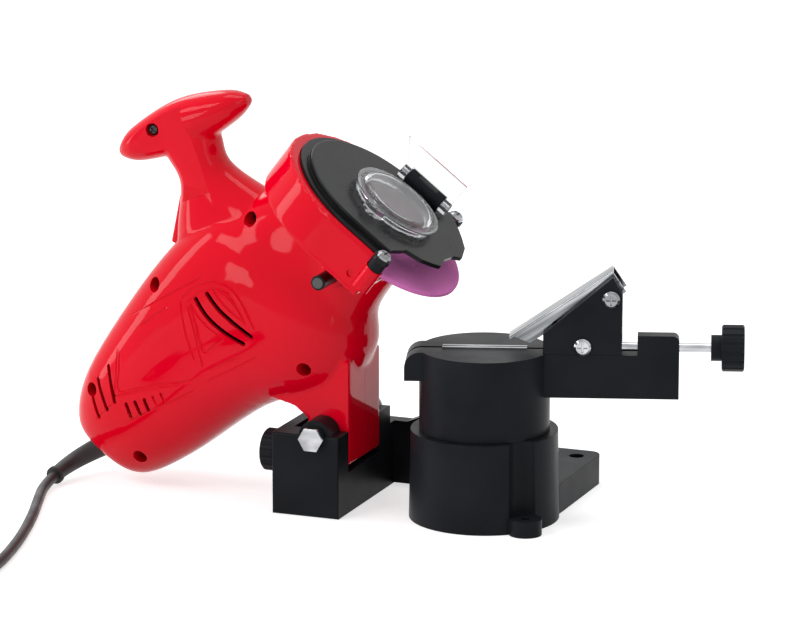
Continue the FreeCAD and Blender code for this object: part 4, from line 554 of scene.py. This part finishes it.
# ------------------------------------------------------------------ housing, in the head's own axes:
# u along the motor, y across it and v square to both, from the pivot
VOXEL = 0.0011                           # of the remesh that joins the forms, in metres
EASE_STEPS = 6                           # rings drawn for each row of a table below

# casing: u, lowest v, highest v and half width
CASING = ((-112.0, 84.0, 110.0, 11.0), (-105.0, 69.0, 124.5, 23.0), (-76.0, 55.5, 136.0, 33.5),
          (-20.0, 38.0, 140.5, 38.0), (20.0, 11.0, 139.5, 39.5), (46.0, 11.0, 134.0, 37.5),
          (66.0, 24.0, 122.0, 30.0), (90.0, 26.0, 110.0, 27.0))
CASING_FULLNESS = 2.5
CASING_POINTS = 64
WALL = 2.6

# handle: place along its own axis, offset across it, half thickness and half width
STEM_ANGLE = 63.7
STEM = ((114.0, -8.0, 46.0, 30.0), (138.0, -12.5, 31.0, 21.0), (162.0, -13.2, 16.0, 15.5),
        (178.0, -12.8, 16.8, 15.5), (192.0, -12.8, 20.0, 14.5))
BAR_ANGLE = -30.6
GRIP = ((-70.5, 188.5, 3.5, 6.0), (-58.0, 189.5, 10.5, 13.5), (-26.0, 191.5, 15.0, 17.0),
        (4.0, 192.5, 9.5, 13.0), (16.5, 192.5, 3.0, 5.0))
HANDLE_FULLNESS = 2.2
HANDLE_POINTS = 48
FACET = ((-90.0, -30.0, 150.0), (-20.0, -13.0, 230.0))    # corners, in the grip's own axes

# wheel guard: an arch over straight sides, open below
GUARD_R = 57.5
GUARD_V = 63.5
GUARD_OPENING_R = 55.0
OPENING_V = 59.5
GUARD_END = 29.0
GUARD_BACK = 90.0
GUARD_FRONT = 117.0
GUARD_FLOOR = 94.0
ARCH_STEPS = 40
DIMPLE = (99.0, 39.0)                    # u, v of the round dimple in the guard's near side
DIMPLE_R = 2.3
DIMPLE_DEEP = 1.3

# pivot lug: its outline stands upright, not along the motor
LUG = ((15.2, -18.5), (15.2, 42.0), (-34.0, 42.0), (-34.0, 17.0), (-19.0, 13.4), (-10.5, 7.0),
       (-10.5, -22.0), (6.0, -22.0))
LUG_HALF = 24.0
PIVOT_BORE_R = 4.05

# screws that join the shells: u and v of each
BOSSES = ((67.0, 109.6), (-2.0, 130.0), (24.0, 30.3), (-91.0, 75.5), (-79.0, 122.0), (63.0, 188.8))
BOSS_R = 5.2
BOSS_REACH = 45.0
SCREW_SEAT = 9.0
SCREW_REACH = 9.0
HEAD_POCKET_R = 4.0
HOUSE_SCREW_R = 1.65

# screws of the wheel's cover, in ears at the guard's lower corners
COVER_SCREW_V = 30.0
COVER_SCREW_Y = 56.5
COVER_SCREW_R = 2.05
COVER_BORE_DEEP = 9.0
COVER_EAR_R = 5.2
COVER_EAR_ROOT = 6.0                     # where an ear starts, in front of the guard's back
SPACER_BACK = 110.5

# spindle and its lock
SPINDLE_ROOM_R = 7.0
SPINDLE_ROOM_START = 18.0
LOCK_U = 80.0
LOCK_COLLAR_R = 7.5
LOCK_COLLAR_END = 33.0
LOCK_COLLAR_POINTS = 40
LOCK_BOSS_START = 10.6
LOCK_HOLE_R = 4.35
LOCK_PIN_BORE_R = 2.55
LOCK_BORE_END = 12.5
LOCK_END = 55.0
LOCK_FACE_R = 3.1
LOCK_FACE_SUNK = 0.3
LOCK_FACE_THICK = 0.5
LOCK_FACE_POINTS = 48
LOCK_FACE_EDGE = 0.0002                  # metres

# room for the switch: length, width, height and depth of the paddle's cut, then length, width and
# depth of the body's
SWITCH_PLACE = (29.0, 147.6)
SWITCH_ANGLE = 26.0
PADDLE = (29.6, 13.6, 9.0, 11.5)
SWITCH_BODY = (20.1, 10.1, 23.6)

# strain relief, from the swivel axis
RELIEF_ROOT = (-238.0, 0.0, 18.6)
RELIEF_BEND = (-256.0, -9.0, 9.48)
RELIEF_BORE_R = 6.4
RELIEF_BORE_HALF = 8.0

# how far cutters start early or reach on, so that no face of theirs lies in the wall's own
OVERCUT = 1.0
PAST_SIDES = 2.0
PAST_END = 3.0
PAST_FRONT = 5.0
PAST_EAR = 6.0
LOCK_CUT = 40.0
POCKET_CUT = 50.0
SLOT_CUT = 50.0

# the box that takes off all of the head on one side of the parting plane
SEAM_HALF = 0.12                         # each shell ends this far from the plane
PART_LOW = (-200.0, -100.0)
PART_HIGH = (300.0, 300.0)
PART_SIDE = 100.0

# slots in both sides: width, how far from the middle they start, and (u, v) along each one's middle line
SLOT_GROUPS = (
    (2.7, 31.0, (((13.8, 103.6), (11.2, 93.9), (10.6, 85.3), (11.4, 75.8), (13.6, 65.7)),
                 ((21.1, 100.2), (19.3, 90.4), (19.1, 82.2), (19.4, 74.0), (20.1, 64.6)))),
    (2.2, 25.0, (((-80.3, 120.5), (-88.0, 108.2)), ((-70.5, 122.5), (-79.7, 106.5)),
                 ((-58.9, 121.9), (-71.9, 105.5)), ((-67.4, 99.3), (-71.8, 92.4)),
                 ((-62.3, 95.7), (-66.1, 88.8)), ((-57.0, 92.0), (-60.3, 86.6)))),
    (1.8, 35.0, (((-51.6, 88.9), (-53.6, 84.9)), ((-46.6, 86.3), (-48.8, 82.4)))))
SLOT_EASE_STEPS = 4
SLOT_END_STEPS = 6

# moulded lines on both sides, (u, v), in groups whose lines don't touch
GROOVE_GROUPS = (
    (((7.4, 110.3), (14.9, 109.8), (24.2, 105.7), (30.9, 99.3), (33.7, 91.6), (32.7, 82.7), (28.8, 73.3),
      (25.1, 65.2)),
     ((7.6, 106.0), (-0.8, 93.2), (-9.8, 82.1), (-15.2, 75.6)),
     ((-46.5, 124.1), (-56.2, 116.3), (-67.0, 108.9), (-68.8, 107.5), (-66.8, 105.9), (-51.2, 94.7),
      (-26.3, 75.1)),
     ((-13.9, 72.4), (-4.4, 67.5), (6.2, 62.2)),
     ((-20.5, 69.6), (-4.2, 61.9), (14.1, 54.4)),
     ((-74.3, 91.5), (-62.8, 86.6), (-50.9, 81.1), (-40.5, 76.1), (-29.8, 71.6)),
     ((-91.4, 108.8), (-79.7, 106.5), (-72.5, 105.7)),
     ((-27.8, 130.5), (0.6, 119.3), (27.3, 108.3))),
    (((6.4, 110.4), (-1.4, 102.1), (-8.4, 92.6), (-15.0, 82.3)),
     ((8.0, 106.4), (17.9, 104.3), (26.4, 99.5), (30.0, 93.3), (29.8, 85.9), (27.2, 78.4), (23.2, 70.7)),
     ((-46.2, 122.3), (-54.6, 114.8), (-64.0, 106.8), (-49.4, 96.1), (-25.6, 75.7)),
     ((-25.2, 121.0), (-13.7, 117.7), (-2.8, 114.1))),
    (((25.5, 98.8), (28.1, 97.7), (28.4, 89.0), (27.4, 80.0), (24.3, 73.9), (23.6, 86.6), (25.5, 98.8)),
     ((9.0, 104.6), (2.7, 94.5), (-7.0, 80.9), (0.2, 78.4), (7.2, 76.9), (6.6, 87.9), (7.4, 96.7),
      (9.0, 104.6))))
GROOVE_R = 0.75
GROOVE_TIP = 0.35                        # the share of the radius at a line's two ends
GROOVE_LIFT = 0.15                       # of the cutter's middle over the surface
GROOVE_POINTS = 8
GROOVE_EASE_STEPS = 5
RAY_START = 60.0                         # outside the casing, where the rays to its surface start


def arch_outline(radius, end, v):
    """An arch over straight sides, in y and v."""
    outline = []
    for i in range(ARCH_STEPS + 1):
        angle = math.pi * i / ARCH_STEPS
        outline.append((radius * math.cos(angle), v + radius * math.sin(angle)))
    return outline + [(-radius, end), (radius, end)]


def slot_outline(line, width):
    """A round-ended band of the width along a line of (u, v) points."""
    points = [Vector(p) for p in (eased(line, SLOT_EASE_STEPS) if len(line) > 2 else line)]
    left, right = [], []
    for i, point in enumerate(points):
        along = direction_at(points, i)
        side = Vector((-along.y, along.x)) * width / 2
        left.append(point + side)
        right.append(point - side)
    ends = []
    for centre, start in ((points[-1], left[-1] - points[-1]), (points[0], right[0] - points[0])):
        ends.append([centre + start @ Matrix.Rotation(math.pi * k / SLOT_END_STEPS, 2)
                     for k in range(1, SLOT_END_STEPS)])
    return [tuple(p) for p in left + ends[0] + right[::-1] + ends[1]]


def casing_rings(rows, inset):
    """The casing's sections at some rows of its table, drawn in by an inset."""
    y, v = Vector((0, 1, 0)), Vector((0, 0, 1))
    return [ring_points(Vector((u, 0, (low + high) / 2)), half - inset, (high - low) / 2 - inset, y, v,
                        CASING_FULLNESS, CASING_POINTS)
            for u, low, high, half in eased(rows, EASE_STEPS)]


def housing_form(bm):
    """The outside of the casing, handle, guard, lock collar and lug, as crossing closed forms."""
    y = Vector((0, 1, 0))
    loft(bm, casing_rings(CASING, 0))
    for table, angle, flip in ((STEM, STEM_ANGLE, 1), (GRIP, BAR_ANGLE, -1)):
        a = math.radians(angle)
        along = Vector((math.cos(a), 0, math.sin(a)))
        across = Vector((math.sin(a), 0, -math.cos(a))) * flip
        loft(bm, [ring_points(along * s + across * c, half, depth, across, y, HANDLE_FULLNESS, HANDLE_POINTS)
                  for s, c, half, depth in eased(table, EASE_STEPS)])
    prism(bm, arch_outline(GUARD_R, GUARD_END, GUARD_V), 0, GUARD_BACK, GUARD_FRONT)
    cylinder(bm, LOCK_COLLAR_R, (LOCK_U, 0, SPINDLE_V), (0, -1, 0), LOCK_COLLAR_END, LOCK_COLLAR_POINTS)
    lug = bmesh.new()
    prism(lug, LUG, 1, -LUG_HALF, LUG_HALF)
    lug.transform(Matrix.Rotation(math.radians(MOTOR_TILT), 4, "Y"))
    mesh = bpy.data.meshes.new("lug")
    lug.to_mesh(mesh)
    lug.free()
    bm.from_mesh(mesh)
    bpy.data.meshes.remove(mesh)


def facet(bm):
    """What the flat thumb facet takes off the grip's end."""
    box(bm, *FACET)
    bm.transform(Matrix.Rotation(math.radians(-BAR_ANGLE), 4, "Y"))


def hollow(piece):
    """Hollow the casing, with its screw pillars and the lock's boss left standing."""
    bm = bmesh.new()
    loft(bm, casing_rings(CASING[1:], WALL))
    void = object_from("void", bm, HEAD)
    for u, v in BOSSES:
        carve(void, HEAD, cylinder_maker(BOSS_R, (u, -BOSS_REACH, v), (0, 1, 0), 2 * BOSS_REACH))
    carve(void, HEAD,
          cylinder_maker(LOCK_COLLAR_R, (LOCK_U, -LOCK_BOSS_START, SPINDLE_V), (0, -1, 0), LOCK_CUT))
    boolean(piece, void)


def slots(width, inner, lines):
    """Cutters for the slots on both sides, from inner out through the wall."""
    def maker(bm):
        for line in lines:
            outline = slot_outline(line, width)
            prism(bm, outline, 1, inner, SLOT_CUT)
            prism(bm, outline, 1, -SLOT_CUT, -inner)
    return maker


def grooves(surface, lines):
    """Thin round cutters that follow lines over the casing, on both sides."""
    to_head = HEAD.inverted()

    def maker(bm):
        for side in (-1, 1):
            there = HEAD.to_3x3() @ Vector((0, -side, 0))
            for line in lines:
                path = []
                for u, v in eased(line, GROOVE_EASE_STEPS):
                    place = surface.ray_cast(HEAD @ Vector((u, side * RAY_START, v)), there)[0]
                    path.append(to_head @ place + Vector((0, side * GROOVE_LIFT, 0)))
                rings = []
                for i, point in enumerate(path):
                    along = direction_at(path, i)
                    across = along.cross(Vector((0, 1, 0))).normalized()
                    thick = GROOVE_R * (GROOVE_TIP if i in (0, len(path) - 1) else 1)
                    rings.append(ring_points(point, thick, thick, across, along.cross(across), 2,
                                             GROOVE_POINTS))
                loft(bm, rings)
    return maker


def switch_box(size, low, high):
    """A maker of a box of a length and width in the switch's axes, between two heights."""
    long, wide = size

    def maker(bm):
        box(bm, (-long / 2, -wide / 2, low), (long / 2, wide / 2, high))
        place = Matrix.Translation((SWITCH_PLACE[0], 0, SWITCH_PLACE[1]))
        bm.transform(place @ Matrix.Rotation(math.radians(-SWITCH_ANGLE), 4, "Y"))
    return maker


def cut_guard(piece):
    """The guard's opening, and the ears with the cover's screws at its lower corners."""
    opening = arch_outline(GUARD_OPENING_R, GUARD_END - PAST_END, OPENING_V)
    carve(piece, HEAD, lambda bm: prism(bm, opening, 0, GUARD_FLOOR, GUARD_FRONT + PAST_FRONT))
    for side in (-1, 1):
        y0, y1 = sorted((side * (COVER_SCREW_Y - COVER_EAR_R), side * (GUARD_R + PAST_EAR)))
        carve(piece, HEAD, box_maker((SPACER_BACK, y0, GUARD_END - PAST_END),
                                     (GUARD_FRONT + PAST_FRONT, y1, COVER_SCREW_V + COVER_EAR_R)))
        y = side * COVER_SCREW_Y
        root = GUARD_BACK + COVER_EAR_ROOT
        carve(piece, HEAD,
              cylinder_maker(COVER_EAR_R, (root, y, COVER_SCREW_V), (1, 0, 0), SPACER_BACK - root),
              operation="UNION")
        carve(piece, HEAD, cylinder_maker(COVER_SCREW_R, (SPACER_BACK - COVER_BORE_DEEP, y, COVER_SCREW_V),
                                          (1, 0, 0), COVER_BORE_DEEP + PAST_END))


def cut_screw_holes(piece):
    """The pockets for the screws' heads, and the holes for their shanks."""
    for u, v in BOSSES:
        carve(piece, HEAD,
              cylinder_maker(HEAD_POCKET_R, (u, -SCREW_SEAT, v), (0, -1, 0), POCKET_CUT),
              cylinder_maker(HOUSE_SCREW_R, (u, -SCREW_SEAT - OVERCUT, v), (0, 1, 0),
                             SCREW_SEAT + SCREW_REACH + OVERCUT))


def cut_fittings(piece):
    """The holes for pivot, lock and spindle, the dimple, and the room for switch and strain relief."""
    carve(piece, HEAD,
          cylinder_maker(PIVOT_BORE_R, (0, -LUG_HALF - PAST_SIDES, 0), (0, 1, 0),
                         2 * (LUG_HALF + PAST_SIDES)),
          cylinder_maker(LOCK_HOLE_R, (LOCK_U, -LOCK_BORE_END, SPINDLE_V), (0, -1, 0), LOCK_CUT),
          cylinder_maker(LOCK_PIN_BORE_R, (LOCK_U, 0, SPINDLE_V), (0, -1, 0), LOCK_BORE_END + OVERCUT),
          cylinder_maker(SPINDLE_ROOM_R, (SPINDLE_ROOM_START, 0, SPINDLE_V), (1, 0, 0),
                         GUARD_FLOOR - SPINDLE_ROOM_START + OVERCUT),
          cylinder_maker(DIMPLE_R, (DIMPLE[0], -GUARD_R - PAST_SIDES, DIMPLE[1]), (0, 1, 0),
                         PAST_SIDES + DIMPLE_DEEP),
          switch_box(PADDLE[:2], -PADDLE[3], PADDLE[2]),
          switch_box(SWITCH_BODY[:2], -SWITCH_BODY[2], -PADDLE[2]))
    root = Vector(RELIEF_ROOT)
    heading = (Vector(RELIEF_BEND) - root).normalized()
    carve(piece, TO_ROW, cylinder_maker(RELIEF_BORE_R, root - heading * RELIEF_BORE_HALF, heading,
                                        2 * RELIEF_BORE_HALF))


def housing(material):
    """Both shells: lofts joined by remeshing and eased where they meet, then cut and parted."""
    bm = bmesh.new()
    housing_form(bm)
    piece = object_from("shell_front", bm, HEAD, material)
    modify(piece, "REMESH", mode="VOXEL", voxel_size=VOXEL, use_smooth_shade=True)
    modify(piece, "SMOOTH", factor=0.5, iterations=8)
    apply_modifiers(piece)
    surface = BVHTree.FromObject(piece, bpy.context.evaluated_depsgraph_get())
    hollow(piece)
    carve(piece, HEAD, facet)
    for lines in GROOVE_GROUPS:
        carve(piece, HEAD, grooves(surface, lines))
    carve(piece, HEAD, *[slots(*group) for group in SLOT_GROUPS])
    cut_guard(piece)
    cut_screw_holes(piece)
    cut_fittings(piece)
    rear = piece.copy()
    rear.data = piece.data.copy()
    rear.name = "shell_rear"
    bpy.context.scene.collection.objects.link(rear)
    for half, node, side in ((piece, "housing_front", 1), (rear, "housing_rear", -1)):
        y0, y1 = sorted((-side * SEAM_HALF, side * PART_SIDE))
        carve(half, HEAD, box_maker((PART_LOW[0], y0, PART_LOW[1]), (PART_HIGH[0], y1, PART_HIGH[1])))
        shade_with_edges(half.data)
        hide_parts(node)
        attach(half, "head")


def add_lock_face(material):
    """The grey disc let into the end of the spindle lock's button."""
    bm = bmesh.new()
    cylinder(bm, LOCK_FACE_R, (LOCK_U, LOCK_FACE_SUNK - LOCK_END, SPINDLE_V), (0, -1, 0), LOCK_FACE_THICK,
             LOCK_FACE_POINTS)
    face = object_from("lock_face", bm, HEAD, material, "lock")
    modify(face, "BEVEL", width=LOCK_FACE_EDGE, segments=2)


# ------------------------------------------------------------------ set
FLOOR_SIZE = 9.0
FLOOR_DROP = 0.0002
FLOOR_GREY = 0.78
FLOOR_GLOW = 0.6
WHITE = (1, 1, 1, 1)
SKY_LIGHT = 0.45                         # what lights the object
SKY_SEEN = 1.0                           # what the camera sees, and what shines in metal and glass

# soft boxes: name, place, width, height and power
LAMPS = (("key", (-1.0, -1.3, 1.5), 1.1, 0.5, 10.5),
         ("left", (-1.9, -0.6, 0.7), 0.4, 1.4, 8.8),
         ("low", (-0.8, -1.9, 0.5), 0.6, 0.5, 5.2),
         ("fill", (1.5, -1.2, 0.9), 0.4, 1.2, 2.4),
         ("top", (0.0, 0.2, 1.9), 1.3, 0.6, 9.8),
         ("rim", (-1.2, 1.2, 1.2), 0.6, 0.8, 4.5))
LAMP_TARGET = (-0.03, -0.08, 0.12)


def seen_rays(tree, rays):
    """1 for camera, glossy and transmission rays, so metal and glass show the white too."""
    last = rays.outputs["Is Camera Ray"]
    for name in ("Is Glossy Ray", "Is Transmission Ray"):
        either = tree.nodes.new("ShaderNodeMath")
        either.operation = "MAXIMUM"
        tree.links.new(last, either.inputs[0])
        tree.links.new(rays.outputs[name], either.inputs[1])
        last = either.outputs["Value"]
    return last


def add_floor():
    """A pale floor that looks white where it is lit, and keeps soft shadows."""
    bm = bmesh.new()
    bmesh.ops.create_grid(bm, x_segments=1, y_segments=1, size=FLOOR_SIZE)
    mesh = bpy.data.meshes.new("floor")
    bm.to_mesh(mesh)
    bm.free()
    floor = new_object("floor", mesh)
    floor.location.z = -FLOOR_DROP
    material = new_material("floor", (FLOOR_GREY, FLOOR_GREY, FLOOR_GREY), 0.9)
    rays = add_node(material, "ShaderNodeLightPath")
    seen = seen_rays(material.node_tree, rays)
    level = add_node(material, "ShaderNodeMath", {1: FLOOR_GLOW}, operation="MULTIPLY")
    link(material, seen, level.inputs[0])
    shader = shader_of(material)
    shader.inputs["Emission Color"].default_value = WHITE
    link(material, level.outputs["Value"], shader.inputs["Emission Strength"])
    mesh.materials.append(material)


def add_background(tree, strength):
    background = tree.nodes.new("ShaderNodeBackground")
    background.inputs["Color"].default_value = WHITE
    background.inputs["Strength"].default_value = strength
    return background


def add_world():
    """White surroundings that light the object less than they show."""
    world = bpy.data.worlds.new("world")
    bpy.context.scene.world = world
    world.use_nodes = True
    tree = world.node_tree
    tree.nodes.clear()
    out = tree.nodes.new("ShaderNodeOutputWorld")
    mix = tree.nodes.new("ShaderNodeMixShader")
    rays = tree.nodes.new("ShaderNodeLightPath")
    light = add_background(tree, SKY_LIGHT)
    seen = add_background(tree, SKY_SEEN)
    tree.links.new(seen_rays(tree, rays), mix.inputs["Fac"])
    tree.links.new(light.outputs["Background"], mix.inputs[1])
    tree.links.new(seen.outputs["Background"], mix.inputs[2])
    tree.links.new(mix.outputs["Shader"], out.inputs["Surface"])


def add_lamps():
    """The soft boxes, aimed at the object's middle."""
    for name, place, width, height, power in LAMPS:
        data = bpy.data.lights.new(name, "AREA")
        data.shape = "RECTANGLE"
        data.size = width
        data.size_y = height
        data.energy = power
        lamp = new_object(name, data)
        lamp.location = place
        lamp.rotation_euler = (Vector(LAMP_TARGET) - Vector(place)).to_track_quat("-Z", "Y").to_euler()


# ------------------------------------------------------------------ main
def dress_nodes(finishes):
    """Give each CAD node the finish of its slot, or its own one, and shade it smooth."""
    finish_of = {entry["node"]: entry["material_slot"] for entry in frame["record"]["subparts"]}
    finish_of.update(OWN_FINISH)
    for name, piece in frame["nodes"].items():
        for slot in piece.material_slots:
            slot.material = finishes[finish_of[name]]
        shade_with_edges(piece.data)


bpy.context.scene.view_settings.view_transform = "Standard"
made = {build.__name__: build() for build in MATERIALS}
add_camera()
power_cord, cord_middle = add_cord(made["rubber"])
dress_nodes(made)
housing(made["red_abs"])
add_lock_face(made["grey_cap"])
add_floor()
add_world()
add_lamps()
